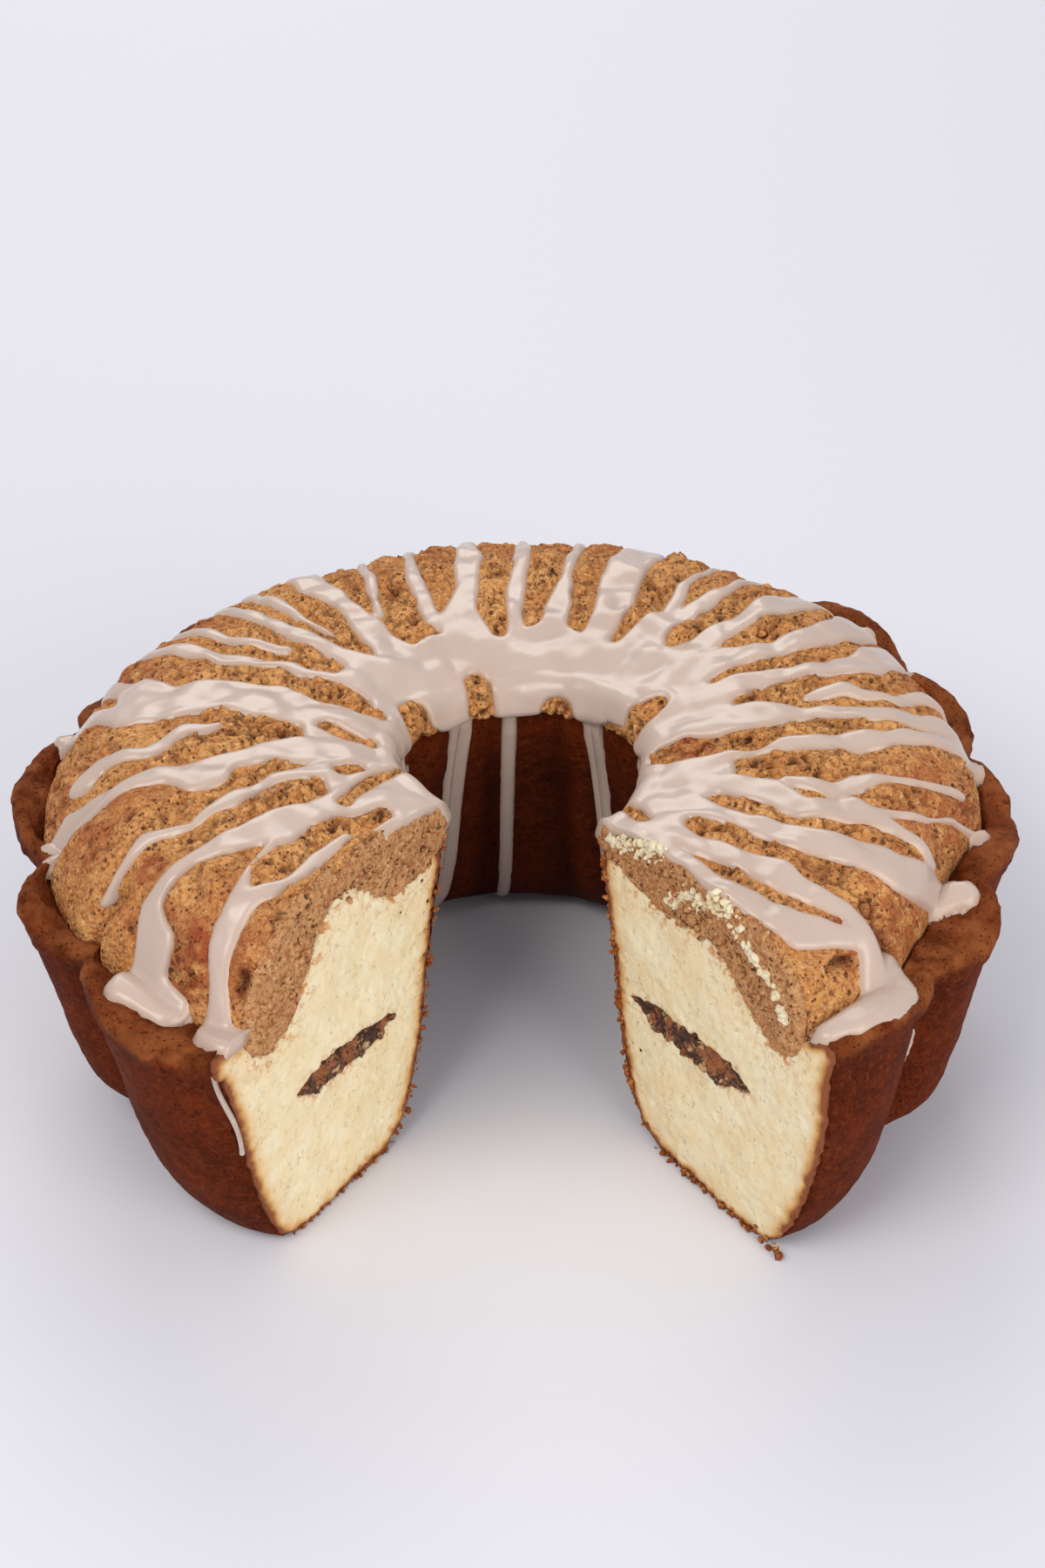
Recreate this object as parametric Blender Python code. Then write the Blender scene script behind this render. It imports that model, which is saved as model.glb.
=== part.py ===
"""Streusel ring cake from a fluted tube pan, one slice taken out.

Three solids, in metres with +Z up: the crumb body with its fluted crust, the cinnamon
ribbon that runs through it, and the streusel topping with its icing drizzle fused on.
Angles are in degrees about the cake's axis, from the front (-Y) towards the right (+X).
"""

import math

import bmesh
import bpy
from mathutils import Vector, noise

MM = 0.001

# Cake axis, set back so that the origin is the middle of the base of its box
AXIS_X = 2.2
AXIS_Y = -11.17

# Missing slice: the two cut faces, in degrees
CUT_RIGHT = 36.5
CUT_LEFT = 325.0

# Flutes: eight wide ones and eight narrow ones, in degrees
WIDE_CENTRE = 43.0
NARROW_CENTRE = 65.5
FLUTE_PITCH = 45.0
WIDE_HALF = 14.0
NARROW_HALF = 8.5
FLUTE_ROUNDNESS = 0.7
WIDE_STATIONS = (-1.0, -0.72, -0.38, 0.0, 0.38, 0.72)
NARROW_STATIONS = (-1.0, -0.55, 0.0, 0.55)

# Outer wall in millimetres: height, radius in the creases, radius on the flutes
WALL = ((3.0, 98.5, 106.5), (9.0, 101.0, 111.0), (20.0, 104.5, 116.0), (35.0, 107.7, 120.2),
        (54.0, 111.4, 124.0), (76.0, 118.5, 128.3))
NARROW_FOOT = 22.0
WALL_SWAY = 2.0
WALL_SWAY_TOWARDS = 275.0
PRESSED_ANGLE = 39.0
PRESSED_SPREAD = 14.0
PRESSED_DEPTH = 5.0
PRESSED_FROM = 45.0
BASE_CORNER = 6.0
BASE_INNER_RADIUS = 60.0
RIM_HEIGHT = 75.5
RIM_RAGGED = 2.2
CREVICE = (112.0, 70.5)

# Back of the cake: the rim sinks and draws in between these angles
BACK = (132.0, 258.0)
BACK_EASE = 15.0
BACK_DROP = 4.0
BACK_DRAW = 5.0

# Hole wall in millimetres, from the top down: radius, height
HOLE_WALL = ((33.8, 82.0), (37.2, 68.0), (40.4, 52.0), (42.8, 36.0), (46.4, 20.0),
             (50.5, 10.0), (55.0, 3.5))
HOLE_FLUTE = 1.8

# Underside of the streusel, and its dome, in millimetres: radius, height
FLOOR = ((33.8, 82.0), (47.0, 78.4), (60.0, 77.0), (72.0, 79.5), (84.0, 75.5),
         (93.0, 67.3), (106.5, 64.5), CREVICE)
DOME = ((31.0, 86.0), (32.5, 90.0), (38.0, 93.3), (46.0, 95.6), (55.0, 97.4), (65.0, 98.2),
        (76.0, 98.1), (87.0, 97.4), (95.0, 95.4), (101.0, 92.0), (106.0, 86.8), (110.8, 76.5))
THIN_SPOT_ANGLE = 325.0
THIN_SPOT_SPREAD = 24.0
THIN_SPOT_RADIUS = 74.0
THIN_SPOT_REACH = 15.0
THIN_SPOT_RISE = 15.0
LAYER_GAP = 0.5

# Dome height sways: size in millimetres, waves round the cake, direction of the crest
DOME_SWAYS = ((2.0, 1, 320.0), (2.6, 2, 298.0))
DOME_SWAY_FADE = (95.0, 111.0)

# Outer end of the streusel: angle, radius; beyond the start the profile stretches to meet it
DOME_ENDS = ((36.5, 111.0), (50.0, 113.0), (60.0, 109.5), (76.0, 110.0), (86.0, 117.0), (100.0, 118.0),
             (112.0, 116.0), (125.0, 117.0), (135.0, 113.0), (150.0, 111.0), (180.0, 112.0), (210.0, 111.5),
             (225.0, 114.0), (240.0, 117.0), (262.0, 121.0), (280.0, 121.0), (291.0, 120.0), (300.0, 118.0),
             (312.0, 115.5), (325.0, 111.0))
STRETCH_FROM = 90.0
CRUST_BAND = 4.5
LUMP_HEIGHT = 1.3
LUMP_SIZE = 15.0

# Cinnamon ribbon section in millimetres: radius, height
RIBBON = ((46.0, 43.0), (57.0, 39.3), (86.0, 39.8), (93.0, 44.5), (82.0, 47.8), (57.0, 46.3))
RIBBON_WANDER = 1.8
RIBBON_SHORT = 9.0
RIBBON_SHORT_SPREAD = 40.0
RIBBON_GAP = 0.5

# Icing: stripes of thick drizzle, each a path of (radius, angle, half width) in
# millimetres and degrees, from the pool round the hole out to its own end
ICING_ABOVE = 1.7
ICING_BELOW = 1.5
ICING_OVER_CRUST = 0.6
ICING_CRUST_RADIUS = 109.5
RIM_MARGIN = 1.5
STRIPE_STEP = 20.0
SHOULDER_RADIUS = 90.0
SHOULDER_STEP = 8.0
STRIPES = (
    ((48, 38, 3), (72, 37.5, 2.4), (88, 40, 4), (97, 42, 5), (105, 48, 3.6)),
    ((48, 44, 4), (60, 44.2, 3), (80, 48, 3.8), (92, 49, 3.9), (100, 50.3, 2), (109, 49, 3.5)),
    ((110, 38.5, 3), (113, 42, 4.2), (114, 46, 4.6), (111, 50.5, 3.6)),
    ((48, 57, 4), (60, 56.7, 2.9), (80, 58.5, 4.2), (95, 61.5, 5), (102, 63, 5.5), (110, 69, 4.6),
     (116, 70.5, 3)),
    ((48, 69, 2.4), (64, 69, 4.5), (76, 65.5, 3.4), (86, 69.3, 4.8), (97, 70, 1.8), (107, 70.7, 1.4)),
    ((92, 71.5, 1.0), (103, 76, 1.1), (110, 81, 1.4), (117, 83.5, 2.2)),
    ((68, 73.5, 1.0), (80, 73.7, 3.3), (85, 76, 3.8), (92, 79.5, 1.4), (105, 83.2, 2), (112, 85.5, 1.5)),
    ((48, 81, 2), (60, 83.2, 1.4), (70, 85.7, 2.1), (84, 88, 4), (93, 90, 2.2), (106, 93, 2.6),
     (118, 97, 3)),
    ((48, 97, 6), (62, 96.5, 5.2), (75, 96.7, 2.2), (88, 96, 3), (104, 96.7, 3.4), (113, 99, 4)),
    ((48, 109.5, 4), (60, 109.5, 3.7), (70, 110.5, 2.2), (84, 110, 3.5), (95, 110.5, 5),
     (106, 115, 5.5), (117, 119, 3)),
    ((74, 101.5, 1.2), (84, 102.5, 2.2), (98, 101, 1.9), (108, 104.5, 2.4), (117, 105.7, 2.6)),
    ((48, 123, 7), (62, 121.5, 4.5), (76, 119.5, 3.6), (92, 120, 4.5), (105, 122.5, 6), (118, 128, 2.6)),
    ((48, 131, 5), (63, 130.5, 3.8), (82, 131.5, 3.2), (98, 131.5, 5), (112, 132, 4)),
    ((48, 144.5, 6), (62, 144, 4.6), (70, 141, 3), (90, 141, 2), (110, 141, 2)),
    ((68, 145, 1.4), (80, 147.5, 1.6), (108, 149, 1.5)),
    ((48, 157.5, 5), (60, 157.5, 3.7), (80, 160, 6), (108, 160.5, 5)),
    ((48, 171.5, 3.4), (64, 171.4, 3.3), (78, 171, 1.4), (108, 171, 1.3)),
    ((46, 181.8, 2), (68, 181.7, 2.6), (82, 180, 2.1), (110, 180, 2)),
    ((48, 196.5, 7), (62, 195.5, 4.8), (74, 191.5, 3), (92, 189.5, 3.3), (110, 188, 3)),
    ((60, 203, 2.4), (74, 201.5, 2.2), (92, 199.5, 1.6), (108, 197, 1.5)),
    ((48, 219.5, 7), (62, 219, 4.6), (80, 217, 2.9), (92, 217.5, 4.4), (110, 214, 4.6)),
    ((70, 213, 1), (86, 208.5, 1.3), (108, 204.5, 1.4)),
    ((48, 230, 5), (62, 232, 3.2), (79, 232.6, 2.2), (113, 228.5, 2)),
    ((68, 226.8, 1), (88, 226, 1.4), (108, 224, 2)),
    ((72, 238.5, 1), (84, 240, 2), (114, 237, 1.6)),
    ((48, 245.5, 4), (68, 244, 1.4), (85, 246.5, 2.8), (100, 245.5, 2), (116, 243, 2.6)),
    ((48, 262, 7), (62, 261.5, 8.5), (76, 260.5, 8), (93, 262.5, 8.5), (103, 256, 4), (117, 250, 3)),
    ((90, 265, 5), (100, 266.5, 3.4), (108, 262.5, 2.6), (115, 260, 5), (121, 258.5, 3.6)),
    ((76, 272, 1.6), (84, 273.2, 2.2), (94, 277.2, 1.9), (106, 275.4, 2.1), (111, 277, 3)),
    ((48, 283.5, 6), (62, 283.5, 4.7), (74, 284.4, 2.9), (82, 287, 6.5), (90, 284.5, 3.2),
     (104, 283.5, 3.6), (112, 281.5, 5), (119, 281.5, 4.6)),
    ((48, 293.8, 3), (66, 294.6, 1.5), (80, 297.2, 2.7), (91, 299, 1.4), (101, 296.5, 1.9), (113, 298, 2)),
    ((48, 309, 7), (64, 309.2, 4), (74, 308.2, 5.8), (86, 306.5, 4.2), (96, 305, 2.1), (108, 305.5, 3.6)),
    ((112, 302.5, 3.6), (116.5, 308, 6), (114.5, 314, 4.5)),
    ((76, 311, 1.1), (88, 313.5, 1.2), (98, 317, 2)),
    ((48, 321.8, 2.6), (66, 320, 1.1), (84, 320.4, 1.8), (94, 318.3, 1.7), (102, 317.8, 2.9),
     (109, 320, 3.6)),
    ((112, 319, 3.4), (112.5, 322.6, 3.4)),
)

POOL_EDGE = 51.0
POOL_WAVE = 2.5
POOL_WAVES = 11
POOL_STEP = 7.2

# Icing drips down the hole wall: angle, half width, lowest height
HOLE_DRIPS = ((146.0, 2.0, 40.0), (186.5, 1.6, 4.5), (210.0, 2.0, 5.0), (252.0, 3.2, 52.0))
DRIP_CLEARANCE = 0.6
DRIP_THICKNESS = 1.7


def interpolate(knots, x):
    """Height on a broken line through (x, y) knots, level past its ends."""
    if x <= knots[0][0]:
        return knots[0][1]
    for (x0, y0), (x1, y1) in zip(knots, knots[1:]):
        if x <= x1:
            return y0 + (y1 - y0) * (x - x0) / (x1 - x0)
    return knots[-1][1]


def smooth_step(x):
    x = min(max(x, 0.0), 1.0)
    return x * x * (3.0 - 2.0 * x)


def place(radius, angle, height):
    """Point from radius and height in millimetres and an angle in degrees."""
    turn = math.radians(angle)
    x = AXIS_X + radius * math.sin(turn)
    y = AXIS_Y - radius * math.cos(turn)
    return Vector((x, y, height)) * MM


def ripple(angle, waves, seed):
    """Smooth uneven value from -1 to 1 round the cake."""
    turn = math.radians(angle)
    return 2.0 * noise.noise(Vector((math.cos(turn), math.sin(turn), seed)) * waves)


def flute(angle):
    """Bulge from 0 in a crease to 1 on the crown, and whether the flute is a narrow one."""
    for centre, half, narrow in ((WIDE_CENTRE, WIDE_HALF, False), (NARROW_CENTRE, NARROW_HALF, True)):
        off = (angle - centre + FLUTE_PITCH / 2) % FLUTE_PITCH - FLUTE_PITCH / 2
        if abs(off) <= half:
            return math.cos(math.pi / 2 * off / half) ** FLUTE_ROUNDNESS, narrow
    return 0.0, False


def outer_radius(angle, height):
    bulge, narrow = flute(angle)
    if narrow:
        bulge *= smooth_step(height / NARROW_FOOT)
    crease = interpolate([(z, low) for z, low, high in WALL], height)
    crown = interpolate([(z, high) for z, low, high in WALL], height)
    sway = WALL_SWAY * math.cos(math.radians(angle - WALL_SWAY_TOWARDS)) * height / RIM_HEIGHT
    pressed = PRESSED_DEPTH * math.exp(-((angle - PRESSED_ANGLE) / PRESSED_SPREAD) ** 2)
    pressed *= smooth_step((height - PRESSED_FROM) / (RIM_HEIGHT - PRESSED_FROM))
    drawn = BACK_DRAW * at_back(angle) * height / RIM_HEIGHT
    return crease + (crown + sway - crease) * bulge - pressed - drawn * bulge


def at_back(angle):
    """Share from 0 to 1 by which a place belongs to the back of the cake."""
    return smooth_step((angle - BACK[0]) / BACK_EASE) * smooth_step((BACK[1] - angle) / BACK_EASE)


def stretch(angle):
    """How far the streusel's profile is pulled out past its start of stretching, as a factor."""
    end = min(interpolate(DOME_ENDS, angle), outer_radius(angle, RIM_HEIGHT) - CRUST_BAND)
    return (end - STRETCH_FROM) / (DOME[-1][0] - STRETCH_FROM)


def spread(radius, angle):
    """Radius at which a place of the mean profile lies at an angle."""
    return radius if radius < STRETCH_FROM else STRETCH_FROM + (radius - STRETCH_FROM) * stretch(angle)


def profile_radius(radius, angle):
    """Radius of the mean profile that lies at a real radius."""
    return radius if radius < STRETCH_FROM else STRETCH_FROM + (radius - STRETCH_FROM) / stretch(angle)


def hole_radius(angle, height):
    knots = sorted((z, r) for r, z in HOLE_WALL)
    bulge = flute(angle)[0] * smooth_step(height / 14.0) * smooth_step((84.0 - height) / 10.0)
    return interpolate(knots, height) - HOLE_FLUTE * bulge


def rim_height(angle):
    ragged = RIM_RAGGED * ripple(angle, 5.0, 0.3) + 1.2 * flute(angle)[0]
    return RIM_HEIGHT + ragged - BACK_DROP * at_back(angle)


def floor_height(radius, angle):
    """Top of the crumb under the streusel; it comes up close to the dome by the left cut."""
    near = math.exp(-((angle - THIN_SPOT_ANGLE) / THIN_SPOT_SPREAD) ** 2)
    middle = math.exp(-((radius - THIN_SPOT_RADIUS) / THIN_SPOT_REACH) ** 2)
    return interpolate(FLOOR, profile_radius(radius, angle)) + THIN_SPOT_RISE * near * middle


def dome_height(radius, angle):
    """Top of the streusel, with its sway round the cake and its lumps."""
    start, end = DOME_SWAY_FADE
    mean = profile_radius(radius, angle)
    fade = 1.0 - smooth_step((mean - start) / (end - start))
    sway = sum(size * math.cos(math.radians(waves * (angle - crest))) for size, waves, crest in DOME_SWAYS)
    turn = math.radians(angle)
    spot = Vector((radius * math.sin(turn), -radius * math.cos(turn), 0.0)) / LUMP_SIZE
    lump = LUMP_HEIGHT * noise.noise(spot * 2.0)
    return interpolate(DOME, mean) + (sway + lump) * fade


def section_angles():
    """Angles of the body's sections: both cut faces, and stations on every flute between."""
    angles = [CUT_RIGHT, CUT_LEFT]
    for turn in range(-1, 9):
        angles += [WIDE_CENTRE + turn * FLUTE_PITCH + WIDE_HALF * part for part in WIDE_STATIONS]
        angles += [NARROW_CENTRE + turn * FLUTE_PITCH + NARROW_HALF * part for part in NARROW_STATIONS]
    inside = [a for a in angles if CUT_RIGHT + 1.2 < a < CUT_LEFT - 1.2]
    return [CUT_RIGHT] + sorted(inside) + [CUT_LEFT]


def even_angles(step):
    count = round((CUT_LEFT - CUT_RIGHT) / step)
    return [CUT_RIGHT + (CUT_LEFT - CUT_RIGHT) * i / count for i in range(count + 1)]


def body_section(angle):
    """Crumb body outline, from the base's inner edge out, up, over and down the hole wall."""
    rim = rim_height(angle)
    lip = outer_radius(angle, rim)
    points = [(BASE_INNER_RADIUS, 0.0), (outer_radius(angle, WALL[0][0]) - BASE_CORNER, 0.0)]
    points += [(outer_radius(angle, z), z) for z, low, high in WALL[:-1]]
    crevice = spread(CREVICE[0], angle)
    points += [(lip, rim - 3.0), (lip - 1.6, rim), (0.45 * crevice + 0.55 * (lip - 1.6), rim - 0.5)]
    radii = [spread(r, angle) for r, z in reversed(FLOOR)]
    points += [(r, floor_height(r, angle)) for r in radii]
    points += [(hole_radius(angle, z), z) for r, z in HOLE_WALL[1:]]
    return points


def grown(outline, distance):
    """Outline with every side moved outwards by the same distance."""
    corners = [Vector(p) for p in outline]
    points = []
    for before, here, after in zip(corners[-1:] + corners[:-1], corners, corners[1:] + corners[:1]):
        arrive = (here - before).normalized()
        leave = (after - here).normalized()
        normals = Vector((arrive.y, -arrive.x)), Vector((leave.y, -leave.x))
        corner = here + (normals[0] + normals[1]) * distance / (1.0 + normals[0].dot(normals[1]))
        points.append((corner.x, corner.y))
    return points


def ribbon_section(angle):
    """Cinnamon ribbon outline; the ribbon wanders a little, and its inner end draws back by the left cut."""
    wander = RIBBON_WANDER * ripple(angle, 3.0, 5.1)
    near = math.exp(-((angle - CUT_LEFT) / RIBBON_SHORT_SPREAD) ** 2)
    outer = max(r for r, z in RIBBON)
    width = outer - min(r for r, z in RIBBON)
    return [(r + RIBBON_SHORT * near * (outer - r) / width, z + wander) for r, z in RIBBON]


def tunnel_section(angle):
    """Hollow of the crumb round the ribbon."""
    return grown(ribbon_section(angle), RIBBON_GAP)


def topping_section(angle):
    """Streusel outline: its underside from the hole out, then the dome back to the hole."""
    radii = [spread(r, angle) for r, z in FLOOR]
    points = [(min(r, radii[-1] - 0.9) + 0.2, floor_height(r, angle) + LAYER_GAP) for r in radii]
    radii = [spread(r, angle) for r, z in reversed(DOME)]
    points += [(r, dome_height(r, angle)) for r in radii]
    return points


def pool_section(angle):
    """Icing pool round the hole, sunk a little into the streusel."""
    edge = POOL_EDGE + POOL_WAVE * math.sin(math.radians(angle * POOL_WAVES))
    middle = (DOME[1][0] + edge) / 2
    points = [(r, dome_height(r, angle) - ICING_BELOW) for r in (34.5, middle, edge - 1.0)]
    points += [(edge + 0.4, dome_height(edge, angle) - 0.2)]
    points += [(r, dome_height(r, angle) + ICING_ABOVE) for r in (edge - 1.6, middle, 35.0)]
    points += [(30.0, DOME[1][1]), (30.4, DOME[0][1] - 1.0), (33.0, DOME[0][1] - 0.5)]
    return points


def swept_ring(sections, angles):
    """Closed C-shaped ring: outlines spun into a ring, set to their sections, ends filled."""
    bm = bmesh.new()
    tag = bm.verts.layers.int.new("outline_point")
    start = []
    index = 0
    for outline in sections:
        verts = []
        for _ in outline(angles[0]):
            vert = bm.verts.new((1.0, 0.0, index * MM))
            vert[tag] = index
            verts.append(vert)
            index += 1
        start += verts
        start += [bm.edges.new((a, b)) for a, b in zip(verts, verts[1:] + verts[:1])]
    steps = len(angles) - 1
    bmesh.ops.spin(bm, geom=start, axis=(0, 0, 1), cent=(0, 0, 0), angle=math.radians(steps), steps=steps)
    placed = [sum((outline(a) for outline in sections), []) for a in angles]
    step_of = {v: round(math.degrees(math.atan2(v.co.y, v.co.x))) for v in bm.verts}
    for vert, step in step_of.items():
        radius, height = placed[step][vert[tag]]
        vert.co = place(radius, angles[step], height)
    for end in (0, steps):
        rim = [e for e in bm.edges if e.is_boundary and step_of[e.verts[0]] == step_of[e.verts[1]] == end]
        bmesh.ops.triangle_fill(bm, edges=rim, use_beauty=True)
    bmesh.ops.recalc_face_normals(bm, faces=bm.faces)
    return bm


def path_prism(stations):
    """Closed four-sided body through stations of four corners each, with flat ends."""
    bm = bmesh.new()
    first = [bm.verts.new(p) for p in stations[0]]
    bm.faces.new(first)
    ring = [bm.edges.new((a, b)) if not bm.edges.get((a, b)) else bm.edges.get((a, b))
            for a, b in zip(first, first[1:] + first[:1])]
    for corners in stations[1:]:
        grown = bmesh.ops.extrude_edge_only(bm, edges=ring)["geom"]
        fresh = [g for g in grown if isinstance(g, bmesh.types.BMVert)]
        ring_verts = [v for e in ring for v in e.verts]
        order = []
        for vert in dict.fromkeys(ring_verts):
            link = [e.other_vert(vert) for e in vert.link_edges if e.other_vert(vert) in fresh]
            order.append((vert, link[0]))
        follow = dict(order)
        first = [follow[v] for v in first]
        for vert, spot in zip(first, corners):
            vert.co = spot
        ring = [bm.edges.get((a, b)) for a, b in zip(first, first[1:] + first[:1])]
    bm.faces.new(first)
    bmesh.ops.recalc_face_normals(bm, faces=bm.faces)
    return bm


def carrying_height(radius, angle):
    """Surface that the icing lies on: the dome, then the crust's rim beyond it."""
    mean = profile_radius(radius, angle)
    if mean <= ICING_CRUST_RADIUS:
        return dome_height(radius, angle)
    over = smooth_step((mean - ICING_CRUST_RADIUS) / 3.0)
    edge = interpolate(DOME, ICING_CRUST_RADIUS)
    rim = max(rim_height(angle + step) for step in (-3.0, -1.5, 0.0, 1.5, 3.0))
    return edge + (rim + ICING_OVER_CRUST - edge) * over


def finer(path):
    """Path with stations added, so that it follows the dome, most closely on its shoulder."""
    stations = [path[0]]
    for start, end in zip(path, path[1:]):
        step = STRIPE_STEP if end[0] < SHOULDER_RADIUS else SHOULDER_STEP
        count = max(1, math.ceil(abs(end[0] - start[0]) / step))
        for i in range(1, count + 1):
            stations.append(tuple(a + (b - a) * i / count for a, b in zip(start, end)))
    return stations


def stripe_body(path):
    """One stripe of icing: sunk into the streusel, and just clear of the crust."""
    path = finer(path)
    stations = []
    for i, (radius, angle, half) in enumerate(path):
        r0, a0, _ = path[max(i - 1, 0)]
        r1, a1, _ = path[min(i + 1, len(path) - 1)]
        along = Vector((r1 - r0, math.radians(a1 - a0) * radius)).normalized()
        corners = []
        on_crust = profile_radius(radius, angle) > ICING_CRUST_RADIUS
        for side, up in ((-1.0, False), (1.0, False), (0.55, True), (-0.55, True)):
            reach = side * half
            r = radius - along.y * reach
            a = angle + math.degrees(along.x * reach / radius)
            a = min(max(a, CUT_RIGHT + 0.3), CUT_LEFT - 0.3)
            r = min(r, outer_radius(a, RIM_HEIGHT) - RIM_MARGIN)
            carry = carrying_height(radius if on_crust else r, a)
            lower = 0.0 if on_crust else -ICING_BELOW
            corners.append(place(r, a, carry + (ICING_ABOVE if up else lower)))
        stations.append(corners)
    return path_prism(stations)


def drip_body(angle, half, lowest):
    """Icing run down the hole wall, fused to the streusel's inner edge above it."""
    stations = []
    levels = [DOME[2][1] - 1.0, DOME[0][1] + 1.0, 82.6, 76.0, 68.0, 56.0, 44.0, 32.0, 20.0, 10.0]
    heights = [z for z in levels if z > lowest + 3.0] + [lowest]
    for height in heights:
        width = half * (1.0 if height > lowest else 0.55)
        spread = math.degrees(width / hole_radius(angle, height))
        wall = min(hole_radius(angle + spread * t, height) for t in (-1.0, -0.5, 0.0, 0.5, 1.0))
        outer = DOME[0][0] + 2.6 if height > 82.3 else wall - DRIP_CLEARANCE
        inner = min(outer, wall - DRIP_CLEARANCE) - DRIP_THICKNESS
        if height > 82.3:
            inner = DOME[0][0] - 1.3
        corners = [place(outer, angle - spread, height), place(outer, angle + spread, height),
                   place(inner, angle + spread * 0.6, height), place(inner, angle - spread * 0.6, height)]
        stations.append(corners)
    return path_prism(stations)


def add_object(name, bm, material=None):
    mesh = bpy.data.meshes.new(name)
    bmesh.ops.triangulate(bm, faces=bm.faces)
    bm.to_mesh(mesh)
    bm.free()
    obj = bpy.data.objects.new(name, mesh)
    if material:
        mesh.materials.append(material)
    bpy.context.scene.collection.objects.link(obj)
    return obj


def finish(name, colour, roughness):
    material = bpy.data.materials.new(name)
    material.use_nodes = True
    shader = material.node_tree.nodes["Principled BSDF"]
    shader.inputs["Base Color"].default_value = (*colour, 1.0)
    shader.inputs["Roughness"].default_value = roughness
    shader.inputs["Metallic"].default_value = 0.0
    return material


def fuse(target, pieces):
    """Join the pieces to the target with one union, and leave only the target."""
    group = bpy.data.collections.new("fused_icing")
    bpy.context.scene.collection.children.link(group)
    for piece in pieces:
        bpy.context.scene.collection.objects.unlink(piece)
        group.objects.link(piece)
    union = target.modifiers.new("icing", "BOOLEAN")
    union.operation = "UNION"
    union.operand_type = "COLLECTION"
    union.collection = group
    union.solver = "EXACT"
    bpy.context.view_layer.objects.active = target
    target.select_set(True)
    bpy.ops.object.modifier_apply(modifier=union.name)
    for piece in pieces:
        bpy.data.objects.remove(piece, do_unlink=True)
    bpy.data.collections.remove(group)


def tidy_mesh(obj):
    """Merge the slivers that the union leaves, and keep the largest closed body."""
    bm = bmesh.new()
    bm.from_mesh(obj.data)
    bmesh.ops.triangulate(bm, faces=bm.faces)
    bmesh.ops.remove_doubles(bm, verts=bm.verts, dist=0.02 * MM)
    bmesh.ops.dissolve_degenerate(bm, edges=bm.edges, dist=0.02 * MM)
    bmesh.ops.triangulate(bm, faces=bm.faces)
    shells = shells_of(bm)
    shells.sort(key=len)
    loose = [v for shell in shells[:-1] for v in shell]
    bmesh.ops.delete(bm, geom=loose, context="VERTS")
    bm.to_mesh(obj.data)
    bm.free()


def shells_of(bm):
    left = set(bm.verts)
    shells = []
    while left:
        shell = {left.pop()}
        edge = list(shell)
        while edge:
            vert = edge.pop()
            for link in vert.link_edges:
                other = link.other_vert(vert)
                if other not in shell:
                    shell.add(other)
                    edge.append(other)
        left -= shell
        shells.append(shell)
    return shells


def make_body():
    bm = swept_ring([body_section, tunnel_section], section_angles())
    return add_object("cake_body", bm, finish("crumb_and_crust", (0.62, 0.36, 0.17), 0.8))


def make_filling():
    bm = swept_ring([ribbon_section], section_angles())
    return add_object("cinnamon_filling", bm, finish("cinnamon_sugar", (0.12, 0.045, 0.02), 0.6))


def make_topping():
    bm = swept_ring([topping_section], section_angles())
    topping = add_object("streusel_topping", bm, finish("streusel", (0.5, 0.27, 0.11), 0.85))
    pieces = [add_object("pool", swept_ring([pool_section], even_angles(POOL_STEP)[1:-1]))]
    pieces += [add_object("stripe", stripe_body(path)) for path in STRIPES]
    pieces += [add_object("drip", drip_body(*drip)) for drip in HOLE_DRIPS]
    fuse(topping, pieces)
    tidy_mesh(topping)
    return topping


def main():
    for obj in list(bpy.data.objects):
        bpy.data.objects.remove(obj, do_unlink=True)
    for obj in (make_body(), make_filling(), make_topping()):
        obj.data.shade_smooth()
        obj.data.set_sharp_from_angle(angle=math.radians(40))


main()
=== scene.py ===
"""Streusel ring cake with cinnamon ribbon and icing drizzle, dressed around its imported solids.

Lengths in the tables are millimetres; angles are degrees about the cake's axis, from the
front (-Y) towards the right (+X). Finished meshes are in metres.
"""

import math

import bmesh
import bpy
import numpy as np
from bpy.props import FloatProperty, FloatVectorProperty, PointerProperty
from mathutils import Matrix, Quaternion, Vector, noise


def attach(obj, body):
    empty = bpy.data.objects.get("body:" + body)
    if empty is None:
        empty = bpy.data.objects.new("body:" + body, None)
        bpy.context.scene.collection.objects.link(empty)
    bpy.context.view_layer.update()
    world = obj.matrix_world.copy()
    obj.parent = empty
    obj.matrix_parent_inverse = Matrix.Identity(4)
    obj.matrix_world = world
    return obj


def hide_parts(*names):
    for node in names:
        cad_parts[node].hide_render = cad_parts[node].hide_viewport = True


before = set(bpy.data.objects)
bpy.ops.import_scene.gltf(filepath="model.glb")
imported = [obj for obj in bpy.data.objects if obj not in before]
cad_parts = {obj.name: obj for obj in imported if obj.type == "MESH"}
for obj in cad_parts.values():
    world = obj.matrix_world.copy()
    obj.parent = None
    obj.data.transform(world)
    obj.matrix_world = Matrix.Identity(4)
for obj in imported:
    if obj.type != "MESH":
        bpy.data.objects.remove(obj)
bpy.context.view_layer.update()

bl_info = {
    "name": "Streusel Ring Cake",
    "version": (1, 0, 0),
    "blender": (4, 5, 0),
    "location": "3D View > Sidebar > Cake",
    "description": "Bakes a fluted ring cake with streusel, cinnamon ribbon and icing drizzle",
    "category": "Add Mesh",
}

MM = 0.001

# Cake axis in the frame
AXIS_X = 2.2
AXIS_Y = -11.17

# Missing slice: the angles of its two cuts
CUT_RIGHT = 36.5
CUT_LEFT = 325.0

# Long pieces end short of the cuts by this angle, and slabs of a thickness make the cut faces
END_INSET = 1.0
SLAB_THICKNESS = 1.9
RIBBON_SLAB_THICKNESS = 2.3

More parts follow.
